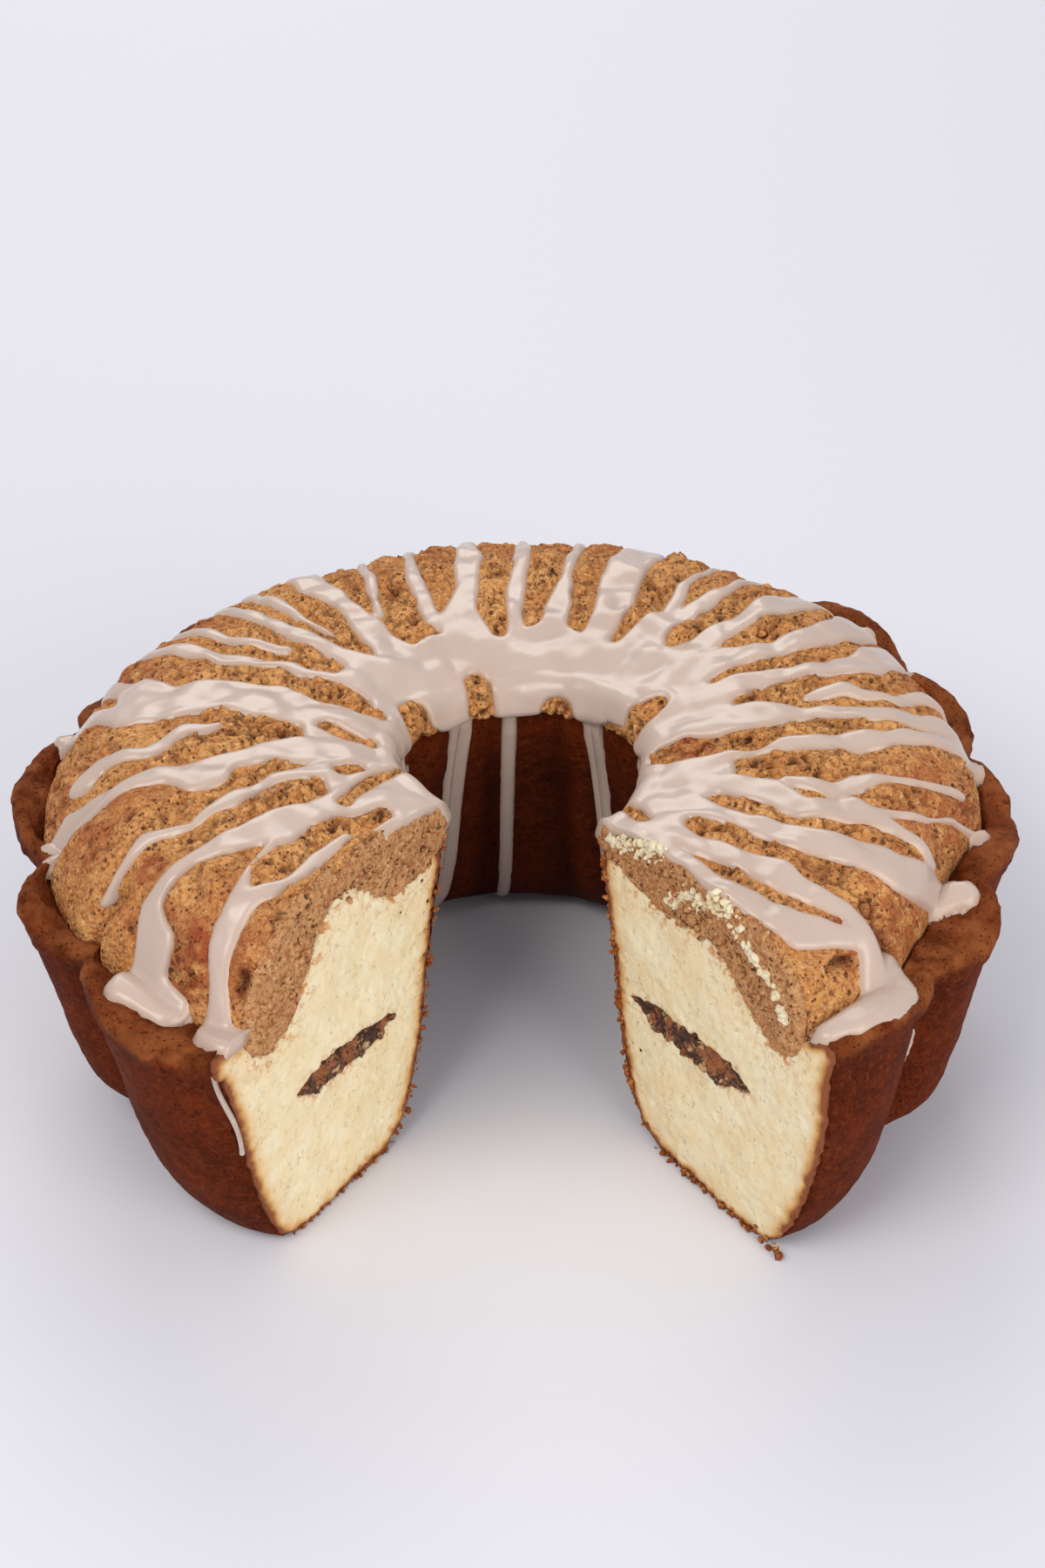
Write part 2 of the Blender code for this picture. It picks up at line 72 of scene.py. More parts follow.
# Flutes: eight wide ones and eight narrow ones
WIDE_CENTRE = 43.0
NARROW_CENTRE = 65.5
FLUTE_PITCH = 45.0
WIDE_HALF = 14.0
NARROW_HALF = 8.5
FLUTE_ROUNDNESS = 0.7

# Outer wall: height, radius in the creases, radius on the flutes
WALL = np.array(((0.0, 96.0, 102.0), (3.0, 98.5, 106.5), (9.0, 101.0, 111.0), (20.0, 104.5, 116.0),
                 (35.0, 107.7, 120.2), (54.0, 111.4, 124.0), (76.0, 118.5, 128.3)))

# Height over which the narrow flutes grow out of the wall
NARROW_FOOT = 22.0

# The wall leans out towards one side, and near its top it is pressed in by the right cut
WALL_SWAY = 2.0
WALL_SWAY_TOWARDS = 275.0
PRESSED_ANGLE = 39.0
PRESSED_SPREAD = 14.0
PRESSED_DEPTH = 5.0
PRESSED_FROM = 45.0

# Base, rim, and the groove between rim and streusel: radius, height
BASE_INNER_RADIUS = 60.0
RIM_HEIGHT = 75.5
RIM_RAGGED = 2.2
CREVICE = (112.0, 70.5)

# Lip of the crust: how far out of the wall and how far below the rim its points lie
LIP_SECTION = ((-0.2, 6.6), (0.0, 5.2), (0.3, 3.9), (0.6, 2.7), (0.5, 1.5), (0.0, 0.6), (-1.0, 0.1),
               (-2.4, -0.1))

# Roughness of each stretch of the body: its coarse waves, its fine grit
BODY_ROUGHNESS = {"base": (0.1, 0.05), "wall": (0.22, 0.12), "lip": (0.6, 0.35), "rim": (0.75, 0.5),
                  "floor": (0.0, 0.0), "hole": (0.3, 0.16)}

# Back of the cake: the rim sinks and draws in between these angles
BACK = (132.0, 258.0)
BACK_EASE = 15.0
BACK_DROP = 4.0
BACK_DRAW = 5.0

# Hole wall, from the top down: radius, height
HOLE_WALL = np.array(((33.8, 82.0), (37.2, 68.0), (40.4, 52.0), (42.8, 36.0), (46.4, 20.0),
                      (50.5, 10.0), (55.0, 3.5), (59.0, 0.6)))
HOLE_FLUTE = 1.8

# Underside of the streusel, and its dome: radius, height
FLOOR = np.array(((33.8, 82.0), (47.0, 78.4), (60.0, 77.0), (72.0, 79.5), (84.0, 75.5),
                  (93.0, 67.3), (106.5, 64.5), CREVICE))
DOME = np.array(((31.0, 86.0), (32.5, 90.0), (38.0, 93.3), (46.0, 95.6), (55.0, 97.4), (65.0, 98.2),
                 (76.0, 98.1), (87.0, 97.4), (95.0, 95.4), (101.0, 92.0), (106.0, 86.8), (110.8, 76.5)))

# By the left cut the crumb comes up close under the dome
THIN_SPOT_ANGLE = 325.0
THIN_SPOT_SPREAD = 24.0
THIN_SPOT_RADIUS = 74.0
THIN_SPOT_REACH = 15.0
THIN_SPOT_RISE = 15.0

# Slow sways of the dome's height: size, waves round the cake, angle of a crest.
# They fade between two radii, and so do its broad lumps
DOME_SWAYS = ((2.0, 1, 320.0), (2.6, 2, 298.0))
DOME_SWAY_FADE = (95.0, 111.0)
LUMP_HEIGHT = 1.3
LUMP_SIZE = 15.0

# Outer end of the streusel: angle, radius; beyond the start the profile stretches to meet it
DOME_ENDS = ((36.5, 111.0), (50.0, 113.0), (60.0, 109.5), (76.0, 110.0), (86.0, 117.0), (100.0, 118.0),
             (112.0, 116.0), (125.0, 117.0), (135.0, 113.0), (150.0, 111.0), (180.0, 112.0), (210.0, 111.5),
             (225.0, 114.0), (240.0, 117.0), (262.0, 121.0), (280.0, 121.0), (291.0, 120.0), (300.0, 118.0),
             (312.0, 115.5), (325.0, 111.0))
STRETCH_FROM = 90.0
CRUST_BAND = 4.5

# Cinnamon ribbon section: radius, height
RIBBON = ((46.0, 43.0), (57.0, 39.3), (86.0, 39.8), (93.0, 44.5), (82.0, 47.8), (57.0, 46.3))

# The ribbon wanders up and down, and its inner end is short by the left cut
RIBBON_WANDER = 1.8
RIBBON_SHORT = 9.0

# Icing: stripes of thick drizzle, each a path of (radius, angle, half width in mm),
# from the pool round the hole out to its own end
STRIPES = (
    ((48, 38, 3), (72, 37.5, 2.4), (88, 40, 4), (97, 42, 5), (105, 48, 3.6)),
    ((48, 44, 4), (60, 44.2, 3), (80, 48, 3.8), (92, 49, 3.9), (100, 50.3, 2.4), (109, 49.6, 3.8),
     (116, 48.5, 5)),
    ((116, 38.4, 2.6), (117.4, 41.5, 4), (117.6, 45.5, 5), (117.4, 49.5, 4.8), (112, 52, 3.8)),
    ((48, 57, 4), (60, 56.7, 2.9), (80, 58.5, 4.2), (95, 61.5, 5), (102, 63, 5.5), (110, 69, 4.6),
     (116, 70.5, 3)),
    ((48, 69, 2.4), (64, 69, 4.5), (76, 65.5, 3.4), (86, 69.3, 4.8), (97, 70, 1.8), (107, 70.7, 1.4)),
    ((92, 71.5, 1.0), (103, 76, 1.1), (110, 81, 1.4), (117, 83.5, 2.2)),
    ((68, 73.5, 1.0), (80, 73.7, 3.3), (85, 76, 3.8), (92, 79.5, 1.4), (105, 83.2, 2), (112, 85.5, 1.5)),
    ((48, 81, 2), (60, 83.2, 1.4), (70, 85.7, 2.1), (84, 88, 4), (93, 90, 2.2), (106, 93, 2.6),
     (118, 97, 3)),
    ((48, 97, 6), (62, 96.5, 5.2), (75, 96.7, 2.2), (88, 96, 3), (104, 96.7, 3.4), (113, 99, 4)),
    ((48, 109.5, 4), (60, 109.5, 3.7), (70, 110.5, 2.2), (84, 110, 3.5), (95, 110.5, 5),
     (106, 115, 5.5), (117, 119, 3)),
    ((74, 101.5, 1.2), (84, 102.5, 2.2), (98, 101, 1.9), (108, 104.5, 2.4), (117, 105.7, 2.6)),
    ((48, 123, 7), (62, 121.5, 4.5), (76, 119.5, 3.6), (92, 120, 4.5), (105, 122.5, 6), (118, 128, 2.6)),
    ((48, 131, 5), (63, 130.5, 3.8), (82, 131.5, 3.2), (98, 131.5, 5), (112, 132, 4)),
    ((48, 144.5, 6), (62, 144, 4.6), (70, 141, 3), (90, 141, 2), (110, 141, 2)),
    ((68, 145, 1.4), (80, 147.5, 1.6), (108, 149, 1.5)),
    ((48, 157.5, 5), (60, 157.5, 3.7), (80, 160, 6), (108, 160.5, 5)),
    ((48, 171.5, 3.4), (64, 171.4, 3.3), (78, 171, 1.4), (108, 171, 1.3)),
    ((46, 181.8, 2), (68, 181.7, 2.6), (82, 180, 2.1), (110, 180, 2)),
    ((48, 196.5, 7), (62, 195.5, 4.8), (74, 191.5, 3), (92, 189.5, 3.3), (110, 188, 3)),
    ((60, 203, 2.4), (74, 201.5, 2.2), (92, 199.5, 1.6), (108, 197, 1.5)),
    ((48, 219.5, 7), (62, 219, 4.6), (80, 217, 2.9), (92, 217.5, 4.4), (110, 214, 4.6)),
    ((70, 213, 1), (86, 208.5, 1.3), (108, 204.5, 1.4)),
    ((48, 230, 5), (62, 232, 3.2), (79, 232.6, 2.2), (113, 228.5, 2)),
    ((68, 226.8, 1), (88, 226, 1.4), (108, 224, 2)),
    ((72, 238.5, 1), (84, 240, 2), (114, 237, 1.6)),
    ((48, 245.5, 4), (68, 244, 1.4), (85, 246.5, 2.8), (100, 245.5, 2), (116, 243, 2.6)),
    ((48, 262, 7), (62, 261.5, 8.5), (76, 260.5, 8), (93, 262.5, 8.5), (103, 256, 4), (117, 250, 3)),
    ((90, 265, 5), (100, 266.5, 3.4), (108, 262.5, 2.6), (115, 260, 5), (121, 258.5, 3.6)),
    ((76, 272, 1.6), (84, 273.2, 2.2), (94, 277.2, 1.9), (106, 275.4, 2.1), (111, 277, 3)),
    ((48, 283.5, 6), (62, 283.5, 4.7), (74, 284.4, 2.9), (82, 287, 6.5), (90, 284.5, 3.2),
     (104, 283.5, 3.6), (112, 281.5, 5), (119, 281.5, 4.6)),
    ((48, 293.8, 3), (66, 294.6, 1.5), (80, 297.2, 2.7), (91, 299, 1.4), (101, 296.5, 1.9), (113, 298, 2)),
    ((48, 309, 7), (64, 309.2, 4), (74, 308.2, 5.8), (86, 306.5, 4.2), (96, 305, 2.1), (108, 305.8, 3.4),
     (112, 308.8, 6), (116.6, 310, 6.4), (116, 315, 3.8)),
    ((76, 311, 1.1), (88, 313.5, 1.2), (98, 317, 2)),
    ((48, 321.8, 2.6), (66, 320, 1.1), (84, 320.4, 1.8), (94, 318.3, 1.7), (102, 317.8, 2.9),
     (109.5, 319.8, 2.6), (114, 321.6, 3.8), (115, 323.8, 3.8)),
)

# Bare places left in the icing, in the same form
ISLANDS = (
    ((35, 86, 3), (42, 86, 4.6), (50, 86.5, 3)),
    ((28, 117, 2.5), (34, 116, 4), (39, 116, 2.5)),
    ((24, 162, 5), (30, 162, 4.5)),
    ((31, 199, 3.4), (36, 199, 3)),
    ((24, 196, 1.2), (31, 197, 1)),
    ((25, 238, 5), (33, 237, 4.5)),
    ((37.5, 253, 1.6), (42, 255, 1.6)),
    ((45, 250, 4), (52, 250, 5), (59, 250, 4.4)),
    ((38, 277, 1.8), (49, 269, 2.2)),
    ((44.5, 294, 2.2), (48.5, 294, 2.2)),
    ((33, 297, 1.3), (44, 302, 1.7), (55, 309, 1.5)),
    ((51, 319, 2.6), (61, 319.4, 3)),
    ((33, 51, 1.2), (43, 45, 1.8)),
)

# Pool of icing round the hole: its outer edge with even waves, and its lip in the hole
POOL_EDGE = 53.0
POOL_WAVE = 2.5
POOL_WAVES = 11
POOL_LIP = -0.6
POOL_LIP_WAVE = 1.8

# Stripes: how much wider than in their table, how far their edges run and wander, how softly
# stripes and drips flow together, and how far past the rim they may reach
STRIPE_WIDER = 1.02
STRIPE_RUN = 0.1
STRIPE_WANDER = 0.7
STRIPE_BLEND = 2.0
DRIP_BLEND = 5.0
ICING_OVERHANG = -0.3

# Icing drips down the hole wall: angle, half width, lowest height
HOLE_DRIPS = ((146.0, 2.7, 9.0), (185.5, 2.0, 3.0), (208.0, 2.9, 3.5), (243.0, 3.0, 60.0), (112.0, 2.0, 55.0))

# Drops on the outer wall: angle, half width, highest, lowest
WALL_DROPS = ((53.6, 1.2, 59.0, 52.0), (54.6, 0.4, 51.0, 40.0), (55.3, 1.6, 40.0, 32.0),
              (324.3, 0.55, 69.0, 40.0))

# Crumbs on the cuts lie along lines of radius, height and reach
CREAM_LINES = (
    ((37, 87, 2.0), (47, 91, 2.6), (58, 96, 2.2)),
    ((61, 83, 2.2), (70, 89, 2.8), (80, 94, 2.6), (86, 90, 2.6)),
    ((86, 89, 1.8), (94.5, 86, 1.4), (102.5, 80, 1.0), (105.5, 74, 0.6)),
)
BROWN_LINES = (
    ((56, 90, 2.4), (63, 92, 2.4)),
    ((36, 84, 2.0), (60, 84, 4.0), (84, 84, 4.0), (104, 73, 3.0)),
)
LEFT_LINES = (
    ((36, 88, 2.4), (55, 92, 3.0), (76, 95, 3.0)),
    ((84, 92, 4.0), (97, 78, 4.0), (106, 70, 3.0)),
)
EDGE_LINES = (
    ((33.2, 86, 0.7), (37, 68, 0.7), (40.3, 52, 0.7), (42.7, 36, 0.7), (46.3, 20, 0.7), (50.5, 10, 0.8),
     (55, 3.5, 0.8), (60, 1, 0.9), (80, 1, 0.9), (98, 1.2, 0.6)),
)
CORNER_LINES = (
    ((98, 1.5, 1.4), (106.5, 2.5, 1.8)),
    ((104, 1.0, 2.2), (110, 1.0, 2.2)),
)

# Each kind of crumb: piece, cut, side, lines, count in 100 mm of line, size, seed, finish, slot
CUT_CRUMBS = (
    ("cream_crumbs_right", CUT_RIGHT, -1.0, CREAM_LINES, 520, 1.25, 21, "fine_crumb", "crumb_and_crust"),
    ("streusel_crumbs_right", CUT_RIGHT, -1.0, BROWN_LINES, 260, 1.3, 31, "cut_streusel", "streusel"),
    ("streusel_crumbs_left", CUT_LEFT, 1.0, LEFT_LINES, 240, 1.2, 41, "cut_streusel", "streusel"),
    ("crust_crumbs_right", CUT_RIGHT, -1.0, EDGE_LINES + CORNER_LINES, 130, 1.0, 51, "cut_crust",
     "crumb_and_crust"),
    ("crust_crumbs_left", CUT_LEFT, 1.0, EDGE_LINES, 100, 0.8, 61, "cut_crust", "crumb_and_crust"),
)

# Loose nuggets of streusel on the dome
NUGGETS = 420

# Hollows in the dome by the rim, darkened with painted shade: radius, angle, reach, depth
DENTS = ((110.0, 52.5, 4.5, 4.0), (107.0, 322.6, 2.4, 2.5), (111.0, 300.0, 3.0, 3.0),
         (102.0, 291.0, 2.0, 1.6))

# Redder baked patches on the dome: radius, angle, reach
TOASTED_SPOTS = ((108.7, 315.3, 6.5), (101.5, 47.8, 8.5), (100.5, 60.5, 7.0), (43.3, 87.2, 6.0),
                 (106.0, 115.0, 5.0), (112.0, 108.0, 5.0), (103.2, 301.4, 4.0))

# Steps of the meshes: degrees round the cake, and millimetres along the outline
BODY_TURN = 0.75
TUNNEL_TURN = 4.0
RIBBON_TURN = 1.6
RIBBON_SLAB_STEP = 0.5
STREUSEL_TURN = 0.5
STREUSEL_STEP = 0.72
ICING_TURN = 0.56
ICING_STEP = 0.9
ICING_HOLE_STEP = 1.5

# Stage in metres and degrees: the floor, the camera, and the lamps with their name, power, size,
# place and target
FLOOR_HALF = 6.0
CAMERA_TARGET = (0.00253, -0.01117, 0.08173)
CAMERA_DISTANCE = 0.81673
CAMERA_DOWN = 36.18
CAMERA_ROLL = 0.25
CAMERA_LENS = 73.52
LAMPS = (
    ("key", 13.5, 0.9, (-0.7, -0.9, 1.4), (0.0, 0.0, 0.05)),
    ("fill", 15.0, 1.2, (1.1, -1.3, 0.7), (0.0, 0.0, 0.05)),
    ("back", 9.0, 1.0, (-0.2, 1.4, 1.1), (0.0, 0.0, 0.05)),
)
SKY_STRENGTH = 0.56


def smooth_step(x):
    """Share that runs smoothly from 0 to 1 as x does."""
    x = np.clip(x, 0.0, 1.0)
    return x * x * (3.0 - 2.0 * x)


def curve(knots, x):
    """Smooth curve through (x, y) knots, level past its ends."""
    xs, ys = np.asarray(knots, float).T
    slope = np.gradient(ys, xs)
    x = np.clip(x, xs[0], xs[-1])
    left = np.clip(np.searchsorted(xs, x) - 1, 0, len(xs) - 2)
    width = xs[left + 1] - xs[left]
    t = (x - xs[left]) / width
    rise = ys[left + 1] - ys[left]
    bend = t * (1.0 - t) * width * (slope[left] * (1.0 - t) - slope[left + 1] * t)
    return ys[left] + rise * t * t * (3.0 - 2.0 * t) + bend


def place(radius, angle, height):
    """Points in metres from radii and heights in millimetres and angles in degrees."""
    turn = np.radians(angle)
    radius, turn, height = np.broadcast_arrays(radius, turn, height)
    x = AXIS_X + radius * np.sin(turn)
    y = AXIS_Y - radius * np.cos(turn)
    return np.stack((x, y, height), -1) * MM


def noise_at(points, size, seed=0.0):
    """Smooth noise from about -1 to 1 at points in metres, with bumps of a size in mm."""
    places = points.reshape(-1, 3) / (size * MM) + seed
    values = np.array([noise.noise(p) for p in places.tolist()])
    return 1.6 * values.reshape(points.shape[:-1])


def cells_at(points, size, seed=0.0):
    """Distance to the nearest cell centre, gap to the second nearest, and the cell's own draw."""
    places = points.reshape(-1, 3) / (size * MM) + seed
    rows = []
    for spot in places.tolist():
        near, centres = noise.voronoi(spot)
        draw = math.sin(centres[0].x * 91.7 + centres[0].y * 53.3) * 0.5 + 0.5
        rows.append((near[0], near[1] - near[0], draw))
    table = np.array(rows).reshape(points.shape[:-1] + (3,))
    return table[..., 0], table[..., 1], table[..., 2]


def ripple(angle, waves, seed):
    """Smooth uneven value from -1 to 1 round the cake."""
    turn = np.radians(np.asarray(angle, float))
    places = np.stack((np.cos(turn) * waves, np.sin(turn) * waves, np.full_like(turn, seed * waves)), -1)
    values = [noise.noise(p) for p in places.reshape(-1, 3).tolist()]
    return 2.0 * np.array(values).reshape(turn.shape)


def flute(angle):
    """Bulge from 0 in a crease to 1 on the crown, and 1 where the flute is a narrow one."""
    angle = np.asarray(angle, float)
    bulge = np.zeros_like(angle)
    narrow = np.zeros_like(angle)
    for centre, half, is_narrow in ((WIDE_CENTRE, WIDE_HALF, 0.0), (NARROW_CENTRE, NARROW_HALF, 1.0)):
        off = (angle - centre + FLUTE_PITCH / 2) % FLUTE_PITCH - FLUTE_PITCH / 2
        crown = np.cos(np.pi / 2 * np.clip(off / half, -1.0, 1.0)).clip(0.0) ** FLUTE_ROUNDNESS
        bulge = np.where(np.abs(off) <= half, crown, bulge)
        narrow = np.where(np.abs(off) <= half, is_narrow, narrow)
    return bulge, narrow


def outer_radius(angle, height):
    """Radius of the outer wall, with its flutes, its lean and the places where it is drawn in."""
    bulge, narrow = flute(angle)
    bulge = bulge * np.where(narrow > 0.5, smooth_step(height / NARROW_FOOT), 1.0)
    crease = curve(WALL[:, [0, 1]], height)
    crown = curve(WALL[:, [0, 2]], height)
    sway = WALL_SWAY * np.cos(np.radians(angle - WALL_SWAY_TOWARDS)) * height / RIM_HEIGHT
    pressed = PRESSED_DEPTH * np.exp(-((angle - PRESSED_ANGLE) / PRESSED_SPREAD) ** 2)
    pressed = pressed * smooth_step((height - PRESSED_FROM) / (RIM_HEIGHT - PRESSED_FROM))
    drawn = BACK_DRAW * at_back(angle) * height / RIM_HEIGHT
    return crease + (crown + sway - crease) * bulge - pressed - drawn * bulge


def at_back(angle):
    """Share from 0 to 1 by which a place belongs to the back of the cake."""
    return smooth_step((angle - BACK[0]) / BACK_EASE) * smooth_step((BACK[1] - angle) / BACK_EASE)


def stretch(angle):
    """How far the streusel's profile is pulled out past its start of stretching, as a factor."""
    ends = np.array(DOME_ENDS)
    end = np.minimum(np.interp(angle, ends[:, 0], ends[:, 1]), outer_radius(angle, RIM_HEIGHT) - CRUST_BAND)
    return (end - STRETCH_FROM) / (DOME[-1][0] - STRETCH_FROM)


def spread(radius, angle):
    """Radius at which a place of the mean profile lies at an angle."""
    return np.where(radius < STRETCH_FROM, radius, STRETCH_FROM + (radius - STRETCH_FROM) * stretch(angle))


def profile_radius(radius, angle):
    """Radius of the mean profile that lies at a real radius."""
    return np.where(radius < STRETCH_FROM, radius, STRETCH_FROM + (radius - STRETCH_FROM) / stretch(angle))


def hole_radius(angle, height):
    """Radius of the hole's wall, with its shallow flutes."""
    bulge = flute(angle)[0] * smooth_step(height / 14.0) * smooth_step((84.0 - height) / 10.0)
    return curve(HOLE_WALL[::-1, ::-1], height) - HOLE_FLUTE * bulge


def rim_height(angle):
    """Uneven height of the rim, lower at the back."""
    ragged = RIM_RAGGED * ripple(angle, 5.0, 0.3) + 1.2 * flute(angle)[0]
    return RIM_HEIGHT + ragged - BACK_DROP * at_back(angle)


def floor_height(radius, angle):
    """Top of the crumb under the streusel; it comes up close to the dome by the left cut."""
    near = np.exp(-((angle - THIN_SPOT_ANGLE) / THIN_SPOT_SPREAD) ** 2)
    middle = np.exp(-((radius - THIN_SPOT_RADIUS) / THIN_SPOT_REACH) ** 2)
    return curve(FLOOR, profile_radius(radius, angle)) + THIN_SPOT_RISE * near * middle


def swell(mean, angle):
    """Rise of the dome above its mean profile: slow sways round the cake, and broad lumps."""
    start, end = DOME_SWAY_FADE
    radius = spread(mean, angle)
    fade = 1.0 - smooth_step((mean - start) / (end - start))
    sway = sum(size * np.cos(np.radians(waves * (angle - crest))) for size, waves, crest in DOME_SWAYS)
    turn = np.radians(angle)
    flat = np.stack(np.broadcast_arrays(radius * np.sin(turn), -radius * np.cos(turn), 0.0), -1)
    lump = [noise.noise(p) for p in (flat.reshape(-1, 3) / LUMP_SIZE * 2.0).tolist()]
    return (sway + LUMP_HEIGHT * np.array(lump).reshape(flat.shape[:-1])) * fade


def dome_path():
    """Mean profile over the dome from the hole wall to past the rim, by its length from the hole edge."""
    over = np.linspace(DOME[0, 0], DOME[-1, 0], 400)
    radius = np.concatenate(((31.9, 31.5, 31.1), over, (112.5, 114.5, 117.0, 130.0)))
    height = np.concatenate(((75.0, 80.0, 84.0), curve(DOME, over), (75.2, 75.3, 75.5, 75.5)))
    length = np.concatenate(((0.0,), np.cumsum(np.hypot(np.diff(radius), np.diff(height)))))
    return radius, height, length - length[3]


PATH_RADIUS, PATH_HEIGHT, PATH_LENGTH = dome_path()
PATH_SHOULDER = float(np.interp(DOME[-1, 0], PATH_RADIUS[3:], PATH_LENGTH[3:]))


def path_length(radius):
    """Length along the dome's profile at a radius; inside the hole it runs down the wall."""
    inside = radius < DOME[0, 0]
    return np.where(inside, radius - DOME[0, 0], np.interp(radius, PATH_RADIUS[3:], PATH_LENGTH[3:]))


def icing_gap(length, angle):
    """Distance in millimetres from a place on the dome to the icing's edge, less than 0 under the icing."""
    radius = dome_skin(length, angle)[0]
    edge = path_length(POOL_EDGE + POOL_WAVE * np.sin(np.radians(angle * POOL_WAVES)))
    lip = POOL_LIP + POOL_LIP_WAVE * ripple(angle, 4.0, 2.7)
    gap = np.maximum(length - edge, lip - length)
    points = place(radius, angle, 90.0)
    run = STRIPE_RUN + STRIPE_WANDER * noise_at(points, 14.0, 5.0)
    for path in STRIPES:
        gap = blend_low(gap, path_gap(path, length, angle, radius) - run, STRIPE_BLEND)
    for turn, half, low in HOLE_DRIPS:
        path = ((31.0, turn, half + 1.2), (24.0, turn, half), (low - 55.0, turn, 0.85 * half))
        gap = blend_low(gap, path_gap(path, length, angle, radius), DRIP_BLEND)
    for path in ISLANDS:
        gap = -blend_low(-gap, path_gap(path, length, angle, radius), 0.8)
    return gap + 0.5 * noise_at(points, 7.0, 3.0) * smooth_step((length + 20.0) / 15.0)


def blend_low(a, b, width):
    """Lower of two values, rounded over where they meet."""
    mix = np.clip(0.5 + 0.5 * (b - a) / width, 0.0, 1.0)
    return b + (a - b) * mix - width * mix * (1.0 - mix)


def path_gap(path, length, angle, radius):
    """Distance to the edge of a stripe that widens and narrows along its path."""
    stations = np.array(path, float)
    lengths = path_length(profile_radius(stations[:, 0], stations[:, 1]))
    gap = np.full(np.shape(length), 99.0)
    near = np.abs(angle - stations[:, 1].mean()) < np.ptp(stations[:, 1]) / 2 + 12.0
    across = np.radians(1.0) * radius[near]
    here_length = length[near]
    here_angle = angle[near]
    for i in range(len(stations) - 1):
        step = lengths[i + 1] - lengths[i]
        turn = (stations[i + 1, 1] - stations[i, 1]) * across
        along = here_length - lengths[i]
        aside = (here_angle - stations[i, 1]) * across
        t = np.clip((along * step + aside * turn) / (step ** 2 + turn ** 2), 0.0, 1.0)
        half = STRIPE_WIDER * (stations[i, 2] + (stations[i + 1, 2] - stations[i, 2]) * t)
        gap[near] = np.minimum(gap[near], np.hypot(along - t * step, aside - t * turn) - half)
    return gap


def carrying_surface(length, angle):
    """Radius and height of the smooth surface that the icing lies on: the dome, then the crust's rim."""
    radius, height = dome_skin(length, angle)
    over = smooth_step((profile_radius(radius, angle) - 109.5) / 4.5)
    height = height + (rim_height(angle) + 0.8 - height) * over
    brim = outer_radius(angle, RIM_HEIGHT) - 2.4
    past = np.clip(radius - brim, 0.0, 6.0)
    return np.minimum(radius, brim + 2.2 + 0.15 * past), height - 0.55 * past ** 2


def size_of(name):
    """One of the cake's sizes, in millimetres."""
    return getattr(bpy.context.scene.cake_sizes, name) / MM


def colours():
    """The cake's colours, as the sidebar sets them."""
    return bpy.context.scene.cake_colours


def coordinates(mesh):
    """A mesh's points in metres."""
    flat = np.empty(len(mesh.vertices) * 3, np.float32)
    mesh.vertices.foreach_get("co", flat)
    return flat.reshape(-1, 3).astype(float)


def paint(piece, name, values):
    """Stores a value for each vertex, which the piece's material reads."""
    layer = piece.data.attributes.new(name, "FLOAT", "POINT")
    layer.data.foreach_set("value", np.asarray(values, np.float32).ravel())


def sheet(bm, points, **values):
    """Grid of faces through rows and columns of points, with named values at them, added to a bmesh."""
    layers = {name: bm.verts.layers.float.new(name) for name in values}
    rows, columns = points.shape[:2]
    grid = bmesh.ops.create_grid(bm, x_segments=columns - 1, y_segments=rows - 1, size=0.5)["verts"]
    for vert, point in zip(grid, points.reshape(-1, 3).tolist()):
        vert.co = point
    for name, layer in layers.items():
        for vert, value in zip(grid, values[name].ravel().tolist()):
            vert[layer] = value


def rolled(values):
    """Rows of an outline with the first point repeated at the end, which closes the outline."""
    return np.concatenate((values, values[:, :1]), 1)


def panel(bm, front, back, inside, **values):
    """Closed slab between two grids of points, kept where inside is true at a cell's corner."""
    behind = bm.verts.layers.float_vector.new("behind")
    sheet(bm, front, **values)
    for vert, point in zip(bm.verts, back.reshape(-1, 3).tolist()):
        vert[behind] = point
    cells = inside[:-1, :-1] | inside[1:, :-1] | inside[:-1, 1:] | inside[1:, 1:]
    # Cells that meet only at a corner get a neighbour, so that no edge has four faces
    for again in range(6):
        falling = cells[:-1, :-1] & cells[1:, 1:] & ~cells[:-1, 1:] & ~cells[1:, :-1]
        rising = cells[:-1, 1:] & cells[1:, :-1] & ~cells[:-1, :-1] & ~cells[1:, 1:]
        cells[:-1, 1:] |= falling
        cells[:-1, :-1] |= rising
    columns = inside.shape[1]
    bm.verts.index_update()
    bare = []
    for face in bm.faces:
        row, column = divmod(min(vert.index for vert in face.verts), columns)
        if not cells[row, column]:
            bare.append(face)
    bmesh.ops.delete(bm, geom=bare, context="FACES")
    grown = bmesh.ops.extrude_face_region(bm, geom=bm.faces[:], use_keep_orig=True)["geom"]
    for part in grown:
        if isinstance(part, bmesh.types.BMVert):
            part.co = part[behind]
    bm.verts.layers.float_vector.remove(behind)
    bmesh.ops.recalc_face_normals(bm, faces=bm.faces)


def finished(name, bm, finish, nodes):
    """Makes the piece from its bmesh, and fits it into the frame."""
    mesh = bpy.data.meshes.new(name)
    bm.to_mesh(mesh)
    bm.free()
    mesh.materials.append(finish_of(finish))
    mesh.shade_smooth()
    piece = bpy.data.objects.new(name, mesh)
    bpy.context.scene.collection.objects.link(piece)
    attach(piece, "root")
    if nodes:
        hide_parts(*nodes)
    return piece


def close_tube(bm):
    """Welds rolled-up sheets along their seams, fills both ends and turns the faces outwards."""
    bmesh.ops.remove_doubles(bm, verts=bm.verts, dist=0.001 * MM)
    edges = [edge for edge in bm.edges if edge.is_boundary]
    right = [edge for edge in edges if edge.verts[0].co.x > AXIS_X * MM]
    left = [edge for edge in edges if edge.verts[0].co.x <= AXIS_X * MM]
    for end in (right, left):
        bmesh.ops.triangle_fill(bm, edges=end, use_beauty=True)
    bmesh.ops.recalc_face_normals(bm, faces=bm.faces)


